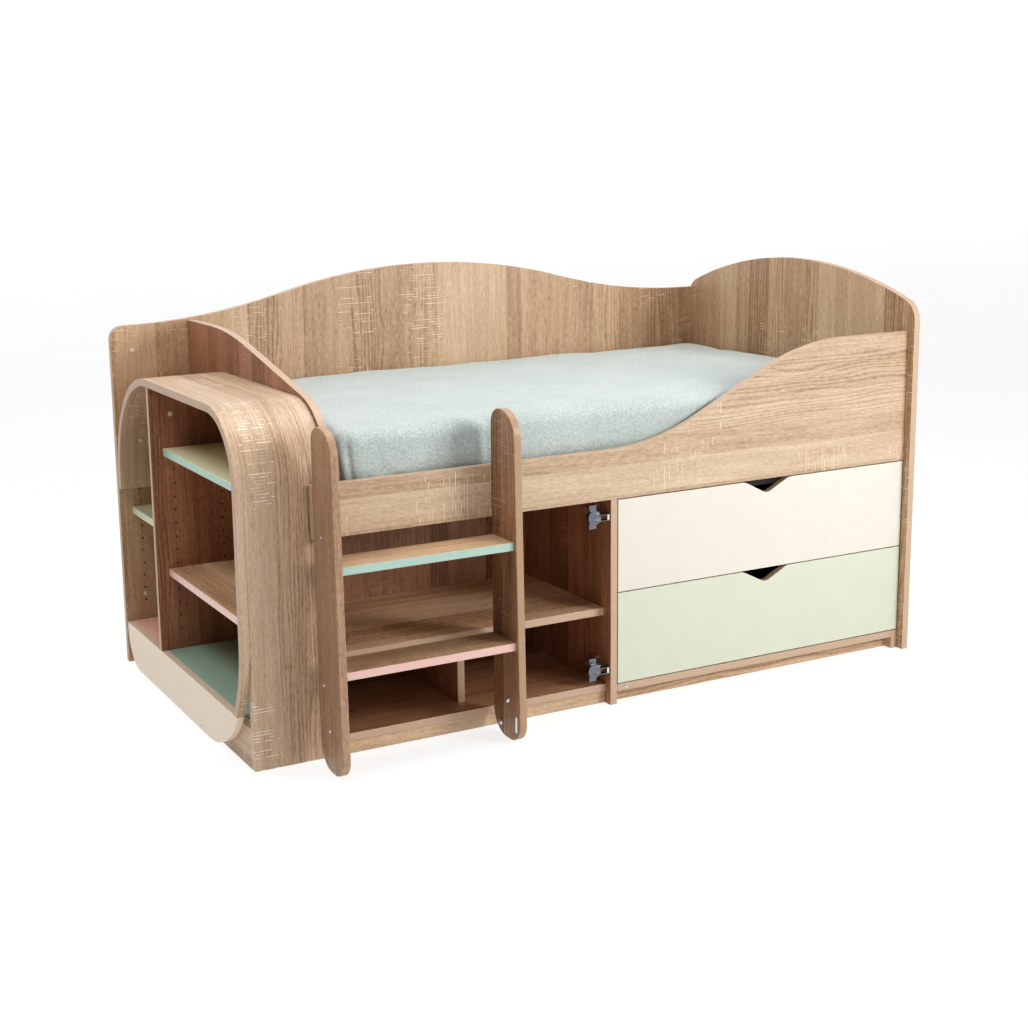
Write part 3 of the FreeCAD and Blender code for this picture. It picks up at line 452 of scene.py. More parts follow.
@dataclass(frozen=True)
class PaintedBoard(Finish):
    """Coloured melamine: an even satin colour with a faint orange peel, and its own edge band."""

    face: Axis
    span: tuple[float, float]
    colour: str
    edge: str
    roughness: float = 0.42
    clouds_per_m: float = 14.0
    peel_mm: float = 2.6

    def make(self) -> bpy.types.Material:
        """Build the board's material."""
        material, tree = start(self.name)
        place = add(tree, "TexCoord", out="Object")
        through = add(tree, "SeparateXYZ", {}, {0: place}).node.outputs[self.face.value]
        base = add(tree, "Mix", {"data_type": "RGBA"}, {
            MIX_FACTOR: between_faces(tree, through, self.span),
            MIX_A: linear(self.colour), MIX_B: linear(self.edge)}, MIX_COLOUR)
        cloud = add(tree, "TexNoise", {}, {"Vector": place, "Scale": self.clouds_per_m, "Detail": 3.0})
        shade = add(tree, "MapRange", {}, {
            "Value": cloud, "From Min": 0.3, "From Max": 0.7, "To Min": 0.985, "To Max": 1.01})
        peel = add(tree, "TexNoise", {}, {"Vector": place, "Scale": 1 / (self.peel_mm * MM), "Detail": 1.0})
        close(tree, {
            "Base Color": add(tree, "Mix", {"data_type": "RGBA", "blend_type": "MULTIPLY"}, {
                MIX_FACTOR: 1.0, MIX_A: base, MIX_B: shade}, MIX_COLOUR),
            "Roughness": add(tree, "Math", {"operation": "MULTIPLY_ADD"}, {
                0: peel, 1: 0.08, 2: self.roughness - 0.04}),
            "Normal": add(tree, "Bump", {}, {"Strength": 0.06, "Distance": 0.2 * MM, "Height": peel}),
        })
        return material


@dataclass(frozen=True)
class Towelling(Finish):
    """Looped cotton jersey of the fitted sheet: soft, matt, with loops that catch the light.

    The loops are drawn coarser than real ones, so that they show.
    """

    name: str = "towelling_sheet"
    colour: str = "#c4cac8"
    shade: str = "#a2afac"
    loop_mm: float = 4.0
    worn_per_m: float = 9.0

    def make(self) -> bpy.types.Material:
        """Build the cloth's material."""
        material, tree = start(self.name)
        place = add(tree, "TexCoord", out="Object")
        loops = add(tree, "TexNoise", {}, {
            "Vector": place, "Scale": 1 / (self.loop_mm * MM), "Detail": 2.0, "Roughness": 0.7})
        worn = add(tree, "TexNoise", {}, {"Vector": place, "Scale": self.worn_per_m, "Detail": 3.0})
        mixed = add(tree, "Math", {"operation": "MULTIPLY_ADD"}, {0: worn, 1: 0.2, 2: loops})
        amount = add(tree, "MapRange", {}, {"Value": mixed, "From Min": 0.44, "From Max": 0.74})
        close(tree, {
            "Base Color": add(tree, "Mix", {"data_type": "RGBA"}, {
                MIX_FACTOR: amount, MIX_A: linear(self.shade), MIX_B: linear(self.colour)}, MIX_COLOUR),
            "Roughness": 0.92,
            "Sheen Weight": 0.3,
            "Sheen Roughness": 0.5,
            "Normal": add(tree, "Bump", {}, {"Strength": 0.7, "Distance": 1.4 * MM, "Height": loops}),
        })
        return material


@dataclass(frozen=True)
class PlatedSteel(Finish):
    """Plated steel: bright, with faint unevenness from drawing that spreads its gloss."""

    colour: str
    roughness: float
    drawn_mm: float = 1.2

    def make(self) -> bpy.types.Material:
        """Build the metal's material."""
        material, tree = start(self.name)
        place = add(tree, "TexCoord", out="Object")
        drawn = add(tree, "TexNoise", {}, {
            "Vector": place, "Scale": 1 / (self.drawn_mm * MM), "Detail": 2.0})
        close(tree, {
            "Base Color": linear(self.colour),
            "Metallic": 1.0,
            "Roughness": add(tree, "Math", {"operation": "MULTIPLY_ADD"}, {
                0: drawn, 1: 0.14, 2: self.roughness - 0.07}),
            "Normal": add(tree, "Bump", {}, {"Strength": 0.05, "Distance": 0.1 * MM, "Height": drawn}),
        })
        return material


@dataclass(frozen=True)
class MouldedPlastic(Finish):
    """Injection-moulded plastic: even colour, a fine spark-eroded grain and a low gloss.

    The grain is drawn coarser than a real one, so that it shows.
    """

    colour: str
    roughness: float = 0.45
    grit_mm: float = 0.8

    def make(self) -> bpy.types.Material:
        """Build the plastic's material."""
        material, tree = start(self.name)
        place = add(tree, "TexCoord", out="Object")
        grit = add(tree, "TexNoise", {}, {"Vector": place, "Scale": 1 / (self.grit_mm * MM), "Detail": 1.0})
        shade = add(tree, "MapRange", {}, {
            "Value": grit, "From Min": 0.3, "From Max": 0.7, "To Min": 0.94, "To Max": 1.04})
        close(tree, {
            "Base Color": add(tree, "Mix", {"data_type": "RGBA", "blend_type": "MULTIPLY"}, {
                MIX_FACTOR: 1.0, MIX_A: linear(self.colour), MIX_B: shade}, MIX_COLOUR),
            "Roughness": self.roughness,
            "Normal": add(tree, "Bump", {}, {"Strength": 0.1, "Distance": 0.1 * MM, "Height": grit}),
        })
        return material


# Tones of the oak on boards that differ from the usual one. Some are darker to paint in shade and
# some paler to paint in light, as the comment above each says.
# Paler oak that paints light onto the pink shelf's top.
PINK_SHELF_LIT_OAK: Tones = {"dark": "#af8d70", "middle": "#dfc1a4", "light": "#f0dcc4"}
# Darker, redder oak that paints shade onto boards seen inside the bookcase and the cupboard.
INTERIOR_SHADE_OAK: Tones = {"dark": "#7b5440", "middle": "#a87c61", "light": "#c4997c", "marks": 0.45}
# Darker oak that paints shade onto the cupboard's bottom and back.
CUPBOARD_SHADE_OAK: Tones = {"dark": "#7b5842", "middle": "#a98468", "light": "#c4a286", "marks": 0.3}
# Paler oak that paints light onto the cupboard shelf's top.
CUPBOARD_SHELF_LIT_OAK: Tones = {"dark": "#8f6b4d", "middle": "#d7b696", "light": "#f3e1ca"}
RAIL_OAK: Tones = {"dark": "#8f765f", "middle": "#b8a087", "light": "#d2bfa8"}
STILE_OAK: Tones = {
    "dark": "#856750", "middle": "#b3937a", "light": "#cbb096", "marks": 0.5, "banded": False}
# Darker oak and edge band that paint shade onto the right stile.
STILE_SHADE_OAK: Tones = {
    "dark": "#7a5a43", "middle": "#a48168", "light": "#bd9f84", "marks": 0.5, "edge": "#b3957a"}
PINE: Tones = {"dark": "#b98f5c", "middle": "#d6b07a", "light": "#e8cd9f", "edge": "#dcb985", "marks": 0.0}
# Nearly black oak that paints the shade behind the drawers' finger notches.
SHADED: Tones = {"dark": "#241c16", "middle": "#2e241c", "light": "#382c22", "edge": "#2a211a", "marks": 0.0}

CHROME = PlatedSteel("chrome_plate", "#e0e1e5", 0.26)
NICKEL = PlatedSteel("nickel_plate", "#87898e", 0.32)
ZINC = PlatedSteel("zinc_runner", "#b9bcc0", 0.36, 4.0)
CAP_PLASTIC = MouldedPlastic("beige_cap", "#d3cbbf")


@cache
def finish_of(spec: Finish) -> bpy.types.Material:
    """Give a finish's material, made once."""
    return spec.make()


def span_of(node: str, axis: Axis) -> tuple[float, float]:
    """Lowest and highest place of a node along an axis."""
    low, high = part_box(node)
    return low[axis.value], high[axis.value]


def oak(node: str, grain: Axis, face: Axis, **changes: object) -> SawnOak:
    """Oak finish for one node, with its own stretch of the print.

    Args:
        node: name of the node.
        grain: direction of the grain.
        face: direction of the board's thickness.
        changes: fields that differ from the usual ones.

    Returns:
        The finish.
    """
    shift = (sum(ord(letter) for letter in node) % PRINT_STRETCHES) * PRINT_STEP
    return SawnOak(f"sawn_oak_{node}", grain, face, span_of(node, face), shift, **changes)


def paint(node: str, face: Axis, colour: str, edge: str) -> PaintedBoard:
    """Coloured finish for one node.

    Args:
        node: name of the node.
        face: direction of the board's thickness.
        colour: colour of the faces.
        edge: colour of the edge band.

    Returns:
        The finish.
    """
    return PaintedBoard(f"painted_{node}", face, span_of(node, face), colour, edge)


def place_piece(mesh: bpy.types.Mesh, name: str, node: str, spec: Finish) -> bpy.types.Object:
    """Put a finished mesh in the scene, in place of a node and on that node's body.

    Args:
        mesh: the piece's mesh, in the frame's coordinates.
        name: the piece's name.
        node: node that it stands for, which gives its body.
        spec: its finish.

    Returns:
        The new object.
    """
    piece = bpy.data.objects.new(name, mesh)
    bpy.context.scene.collection.objects.link(piece)
    mesh.materials.clear()
    mesh.materials.append(finish_of(spec))
    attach(piece, BODY_OF[node])
    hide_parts(node)
    LOG.info("%s rides on %s with %d faces", name, BODY_OF[node], len(mesh.polygons))
    return piece


def smooth(mesh: bpy.types.Mesh, sharp_from: float | None = None) -> None:
    """Shade a mesh smooth.

    Args:
        mesh: the mesh.
        sharp_from: edges that turn by more than this angle stay sharp.
    """
    mesh.polygons.foreach_set("use_smooth", np.ones(len(mesh.polygons), bool))
    if sharp_from is not None:
        mesh.set_sharp_from_angle(angle=sharp_from)


def soften(node: str, spec: Finish, arris: float = 0.9 * MM) -> None:
    """Replace a board by a copy of its solid with small rounded arrises.

    Args:
        node: name of the board's node.
        spec: its finish.
        arris: width of the rounding.
    """
    rounded_from = math.radians(50)
    shortest_edge = 2.3 * MM
    shape = bmesh.new()
    shape.from_mesh(frame["nodes"][node].data)
    bmesh.ops.remove_doubles(shape, verts=shape.verts[:], dist=WELD)
    bmesh.ops.dissolve_limit(
        shape, angle_limit=math.radians(0.4), use_dissolve_boundaries=False,
        verts=shape.verts[:], edges=shape.edges[:])
    sharp = [
        edge for edge in shape.edges
        if edge.is_manifold and edge.calc_face_angle() > rounded_from and edge.calc_length() > shortest_edge
    ]
    bmesh.ops.bevel(
        shape, geom=sharp, offset=arris, offset_type="OFFSET", segments=2, profile=0.5,
        affect="EDGES", clamp_overlap=True)
    bmesh.ops.dissolve_degenerate(shape, edges=shape.edges[:], dist=2 * WELD)
    mesh = bpy.data.meshes.new(f"{node}_board")
    shape.to_mesh(mesh)
    shape.free()
    smooth(mesh, math.radians(40))
    piece = place_piece(mesh, f"{node}_board", node, spec)
    even = piece.modifiers.new("even_normals", "WEIGHTED_NORMAL")
    even.keep_sharp = True


def dress(node: str, spec: Finish) -> None:
    """Give a node of the frame its finish and leave its shape.

    Args:
        node: name of the node.
        spec: its finish.
    """
    slots = frame["nodes"][node].data.materials
    slots.clear()
    slots.append(finish_of(spec))
    LOG.info("%s keeps its solid", node)


def surface(name: str, grids: list[np.ndarray]) -> bpy.types.Mesh:
    """Join closed grids into one mesh. Each grid's second direction goes once round.

    Args:
        name: the mesh's name.
        grids: arrays of points with the shape rows, columns and three.

    Returns:
        The mesh, with its doubles merged and its normals outward.
    """
    points = []
    faces = []
    first = 0
    for grid in grids:
        rows, columns, _ = grid.shape
        row, column = np.meshgrid(np.arange(rows - 1), np.arange(columns), indexing="ij")
        after = (column + 1) % columns
        quads = np.stack([
            row * columns + column, row * columns + after,
            (row + 1) * columns + after, (row + 1) * columns + column], -1)
        faces.append(quads.reshape(-1, 4) + first)
        points.append(grid.reshape(-1, 3))
        first += rows * columns
    mesh = bpy.data.meshes.new(name)
    mesh.from_pydata(np.concatenate(points).tolist(), [], np.concatenate(faces).tolist())
    shape = bmesh.new()
    shape.from_mesh(mesh)
    bmesh.ops.remove_doubles(shape, verts=shape.verts[:], dist=WELD / 2)
    bmesh.ops.dissolve_degenerate(shape, edges=shape.edges[:], dist=WELD / 4)
    bmesh.ops.recalc_face_normals(shape, faces=shape.faces[:])
    shape.to_mesh(mesh)
    shape.free()
    smooth(mesh, math.radians(38))
    return mesh


@dataclass(frozen=True)
class Head:
    """A turned fastener head that stands on a surface."""

    at: Point
    out: Point
    radius: float = 4 * MM
    height: float = 1.5 * MM
    recess: Recess = Recess.CROSS
    dome: float = 0.45
    stretch: float = 0.0

    @classmethod
    def on_box(cls, box: tuple[Vector, Vector], axis: Axis, way: float, **sizes: object) -> "Head":
        """Head that stands on the base of a box and points along an axis.

        Args:
            box: lowest and highest corner.
            axis: direction of the head's axis.
            way: one to point up that axis, minus one to point down it.
            sizes: fields that differ from the usual ones.

        Returns:
            The head.
        """
        low, high = box
        at = (low + high) / 2
        at[axis.value] = (low if way > 0 else high)[axis.value]
        out = [0.0, 0.0, 0.0]
        out[axis.value] = way
        return cls(tuple(at), tuple(out), **sizes)

    def grid(self, columns: int = 36) -> np.ndarray:
        """Points of the head: a profile turned about the axis, with its drive sunk in.

        The profile rises from the rim as a dome, height times one minus dome times radius share squared.
        The drive lowers points whose place, as a share of the radius, falls inside a cross or a hexagon. A
        stretched head is pulled apart at its middle, so that it is as long as a strap.

        Args:
            columns: points round the axis.

        Returns:
            The grid of points.
        """
        slot_half = 0.11
        slot_reach = 0.6
        hexagon_half = 0.45
        sink = 0.55
        share = np.array([0, 0.12, 0.22, 0.30, 0.36, 0.42, 0.50, 0.56, 0.62, 0.74, 0.86, 0.95, 1.0, 1.0, 0.0])
        lift = self.height * (1 - self.dome * share ** 2)
        lift[-2:] = 0
        around = np.linspace(0, 2 * math.pi, columns, endpoint=False)
        across = share[:, None] * np.cos(around)
        up = share[:, None] * np.sin(around)
        level = np.repeat(lift[:, None], columns, axis=1)
        sunk = np.zeros(level.shape, bool)
        if self.recess is Recess.CROSS:
            narrow = np.minimum(np.abs(across), np.abs(up)) < slot_half
            sunk = narrow & (share[:, None] < slot_reach)
        elif self.recess is Recess.HEXAGON:
            turns = np.arange(3)[:, None, None] * math.pi / 3
            flats = np.abs(across * np.cos(turns) + up * np.sin(turns))
            sunk = np.max(flats, axis=0) < hexagon_half
        sunk[-3:] = False
        level = np.where(sunk, level - sink * self.height, level)
        normal = Vector(self.out).normalized()
        side = Vector((0, 0, 1)).cross(normal).normalized()
        other = normal.cross(side)
        across = self.radius * across
        up = self.radius * up + self.stretch / 2 * np.sign(np.round(up, 6))
        flat = across[..., None] * np.array(side) + up[..., None] * np.array(other)
        return np.array(self.at) + flat + level[..., None] * np.array(normal)


def heads(name: str, node: str, items: list[Head], spec: Finish) -> None:
    """Replace a group of plain fasteners by turned heads.

    Args:
        name: name of the new piece.
        node: node of the group.
        items: the heads.
        spec: their finish.
    """
    place_piece(surface(name, [item.grid() for item in items]), name, node, spec)


def islands(node: str) -> list[tuple[Vector, Vector]]:
    """Boxes of the separate solids in one node.

    Each point starts with its own number. Points that share an edge take the lower of their numbers,
    over and over, so that in the end each solid has one number.

    Args:
        node: name of the node.

    Returns:
        Lowest and highest corner of each solid, in order along X, then Y, then Z.
    """
    mesh = frame["nodes"][node].data
    spots = np.empty(len(mesh.vertices) * 3)
    mesh.vertices.foreach_get("co", spots)
    spots, merged = np.unique(spots.reshape(-1, 3), axis=0, return_inverse=True)
    edges = np.empty(len(mesh.edges) * 2, np.int32)
    mesh.edges.foreach_get("vertices", edges)
    start_at, end_at = merged.reshape(-1)[edges].reshape(-1, 2).T
    number = np.arange(len(spots))
    settled = False
    while not settled:
        lower = number.copy()
        np.minimum.at(lower, start_at, number[end_at])
        np.minimum.at(lower, end_at, number[start_at])
        settled = np.array_equal(lower, number)
        number = lower
    solids = [spots[number == own] for own in np.unique(number)]
    found = [(Vector(solid.min(0)), Vector(solid.max(0))) for solid in solids]
    return sorted(found, key=lambda pair: tuple(round(value, 4) for value in pair[0]))


@dataclass
class BedFrame:
    """End panels, back panel, front rail and slatted base."""

    panels: tuple[tuple[str, Axis, Axis, Tones], ...] = (
        ("back_panel", Axis.Z, Axis.Y, {}),
        ("headboard", Axis.Z, Axis.X, {}),
        # The footboard, seen mostly inside the bookcase, carries painted shade.
        ("footboard", Axis.Z, Axis.X, INTERIOR_SHADE_OAK),
        ("front_rail", Axis.X, Axis.Y, RAIL_OAK),
    )

    def build(self) -> None:
        """Make the softened panels."""
        for node, grain, face, tones in self.panels:
            soften(node, oak(node, grain, face, **tones))

    def dress(self) -> None:
        """Give the slats and bearers their pine."""
        dress("slats", oak("slats", Axis.Y, Axis.Z, **PINE))
        dress("slat_bearers", oak("slat_bearers", Axis.X, Axis.Z, **PINE))


@dataclass
class Bookcase:
    """Bent shell with its rim, upright, shelves, coloured floors and kick plate."""

    mint: str = "#bcd4c9"
    floor_green: str = "#b2d0c2"
    # The green floor's edge is painted as oak in shade.
    shaded_wood_edge: str = "#8f7359"
    # The mint shelf's top: a pale board, made paler still to paint in light.
    pale_top_and_light: str = "#feffde"
    pale_green: str = "#d3d8bd"
    pink: str = "#f0d0c7"
    # The pink floor is the pink board, made brighter to paint in light.
    lit_floor_pink: str = "#ffd6c6"
    cream: str = "#eee0cd"
    shell_shift: float = 5.40
    cap_radius: float = 7 * MM
    cap_height: float = 2.4 * MM
    cap_sink: float = 1 * MM
    cap_dome: float = 0.6
    cap_tilt: float = math.radians(20)
    tilted_from: float = 3 * MM

    def build(self) -> None:
        """Make the softened boards."""
        span = span_of("bookcase_rim", Axis.X)
        bent = BentOak("sawn_oak_shell", Axis.Z, Axis.X, span, self.shell_shift)
        soften("bookcase_shell", bent)
        soften("bookcase_rim", bent)
        # The upright carries painted shade, and its holes beyond the open end are painted dark as shade.
        open_end = span_of("bookcase_upright", Axis.X)[0] + 2 * MM
        soften("bookcase_upright", oak("bookcase_upright", Axis.Z, Axis.Y, banded_to=open_end, **INTERIOR_SHADE_OAK))
        # The pink shelf's top is made paler to paint in light.
        soften("pink_shelf", oak("pink_shelf", Axis.Y, Axis.Z, edge=self.pink, **PINK_SHELF_LIT_OAK))
        # The mint shelf's top and the pink floor are made paler to paint in light; the green floor's edge is
        # painted as oak in shade.
        for node, face, colour, edge in (
            ("mint_shelf", Axis.Z, self.pale_top_and_light, self.mint),
            ("corner_shelf", Axis.Z, self.pale_green, self.pale_green),
            ("green_floor", Axis.Z, self.floor_green, self.shaded_wood_edge),
            ("pink_floor", Axis.Z, self.lit_floor_pink, self.pink),
            ("kick_plate", Axis.X, self.cream, self.cream),
        ):
            soften(node, paint(node, face, colour, edge))

    def dress(self) -> None:
        """Finish the hidden plinth and the small fittings. Caps in the rear bend lean with it."""
        dress("bookcase_plinth", oak("bookcase_plinth", Axis.Y, Axis.X))
        dress("shelf_pins", CHROME)
        caps = []
        for low, high in islands("cover_caps"):
            out = Vector((0, -1, 0))
            if high.y - low.y > self.tilted_from:
                out = Vector((0, -math.cos(self.cap_tilt), -math.sin(self.cap_tilt)))
            at = (low + high) / 2 - out * self.cap_sink
            caps.append(Head(
                tuple(at), tuple(out), self.cap_radius, self.cap_height, Recess.NONE, self.cap_dome))
        heads("cover_cap_domes", "cover_caps", caps, CAP_PLASTIC)


@dataclass
class Ladder:
    """Stiles, steps with coloured edges, bolts and foot fittings."""

    mint: str = "#aec8bd"
    pink: str = "#dfbdb5"
    stile_arris: float = 2 * MM
    bolt_radius: float = 5 * MM
    bolt_height: float = 2.5 * MM
    fitting_dome: float = 0.75

    def build(self) -> None:
        """Make the softened boards."""
        # The right stile's darker oak is painted shade.
        for side, tones in (("left", STILE_OAK), ("right", STILE_SHADE_OAK)):
            node = f"ladder_stile_{side}"
            soften(node, oak(node, Axis.Z, Axis.X, **tones), self.stile_arris)
        soften("upper_step", oak("upper_step", Axis.X, Axis.Z, edge=self.mint))
        soften("lower_step", oak("lower_step", Axis.X, Axis.Z, edge=self.pink))

    def dress(self) -> None:
        """Turn the bolts, which face away from the steps, and the foot fittings, which face each other."""
        middle_x = sum(span_of("ladder_bolts", Axis.X)) / 2
        bolts = []
        for low, high in islands("ladder_bolts"):
            way = 1.0 if (low.x + high.x) / 2 > middle_x else -1.0
            bolts.append(Head.on_box(
                (low, high), Axis.X, way, radius=self.bolt_radius, height=self.bolt_height,
                recess=Recess.HEXAGON))
        heads("ladder_bolt_heads", "ladder_bolts", bolts, CHROME)
        fittings = []
        for low, high in islands("foot_fittings"):
            way = -1.0 if (low.x + high.x) / 2 > middle_x else 1.0
            wide = (high.y - low.y) / 2
            long = high.z - low.z - 2 * wide
            fittings.append(Head.on_box(
                (low, high), Axis.X, way, radius=wide, height=high.x - low.x, dome=self.fitting_dome,
                recess=Recess.NONE if long > wide else Recess.CROSS, stretch=max(long, 0.0)))
        heads("foot_fitting_heads", "foot_fittings", fittings, CHROME)


@dataclass
class DrawerUnit:
    """Carcass and two drawers with finger notches."""

    cream: str = "#d8d4ca"
    pale_green: str = "#cdd0c0"
    band: str = "#c2ae95"
    white: str = "#ece8df"
    carcass: tuple[tuple[str, Axis, Axis, Tones], ...] = (
        # The divider, seen inside the cupboard, carries painted shade.
        ("divider", Axis.Z, Axis.X, INTERIOR_SHADE_OAK),
        ("drawer_unit_side", Axis.Z, Axis.X, {}),
        ("drawer_unit_bottom", Axis.X, Axis.Z, {}),
        ("drawer_unit_plinth", Axis.X, Axis.Y, {}),
        ("drawer_unit_back", Axis.Z, Axis.Y, {}),
    )

    def build(self) -> None:
        """Make the softened boards of the carcass and the drawers."""
        for node, grain, face, tones in self.carcass:
            soften(node, oak(node, grain, face, **tones))
        for level, colour in (("upper", self.cream), ("lower", self.pale_green)):
            front = f"{level}_drawer_front"
            soften(front, paint(front, Axis.Y, colour, self.band))
            for side, face in (("left", Axis.X), ("right", Axis.X), ("back", Axis.Y), ("bottom", Axis.Z)):
                node = f"{level}_drawer_{side}"
                soften(node, paint(node, face, self.white, self.white))

    def dress(self) -> None:
        """Finish the stretchers as painted shade behind the notches, and the runners; turn the screws."""
        # The stretchers are painted nearly black as the shade behind the notches.
        dress("drawer_unit_stretchers", oak("drawer_unit_stretchers", Axis.X, Axis.Z, **SHADED))
        for level in ("upper", "lower"):
            dress(f"{level}_cabinet_runners", ZINC)
            dress(f"{level}_drawer_runners", ZINC)
        screws = [
            Head.on_box((low, high), Axis(int(np.argmin(high - low))), -1.0)
            for low, high in islands("edge_screws")
        ]
        heads("edge_screw_heads", "edge_screws", screws, CHROME)


@dataclass
class Cupboard:
    """Open cupboard under the bed, with the hinges of its missing door."""

    boards: tuple[tuple[str, Axis, Axis, Tones], ...] = (
        # The cupboard's bottom, partition and back carry painted shade, and its shelf carries painted light.
        ("cupboard_bottom", Axis.X, Axis.Z, CUPBOARD_SHADE_OAK),
        ("cupboard_shelf", Axis.X, Axis.Z, CUPBOARD_SHELF_LIT_OAK),
        ("cupboard_partition", Axis.Z, Axis.X, INTERIOR_SHADE_OAK),
        ("cupboard_back", Axis.Z, Axis.Y, CUPBOARD_SHADE_OAK),
        ("cupboard_plinth", Axis.X, Axis.Y, {"marks": 0.4}),
    )
    plate_arris: float = 0.4 * MM
    arm_arris: float = 0.6 * MM
    cup_arris: float = 0.3 * MM

    def build(self) -> None:
        """Make the softened boards."""
        for node, grain, face, tones in self.boards:
            soften(node, oak(node, grain, face, **tones))

    def dress(self) -> None:
        """Plate the hinges and turn their screws."""
        for level in ("upper", "lower"):
            soften(f"{level}_hinge_plate", CHROME, self.plate_arris)
            soften(f"{level}_hinge_arm", CHROME, self.arm_arris)
            soften(f"{level}_hinge_cup", NICKEL, self.cup_arris)
        dress("hinge_pins", ZINC)
        screws = [Head.on_box(box, Axis.X, -1.0) for box in islands("hinge_screws")]
        heads("hinge_screw_heads", "hinge_screws", screws, CHROME)


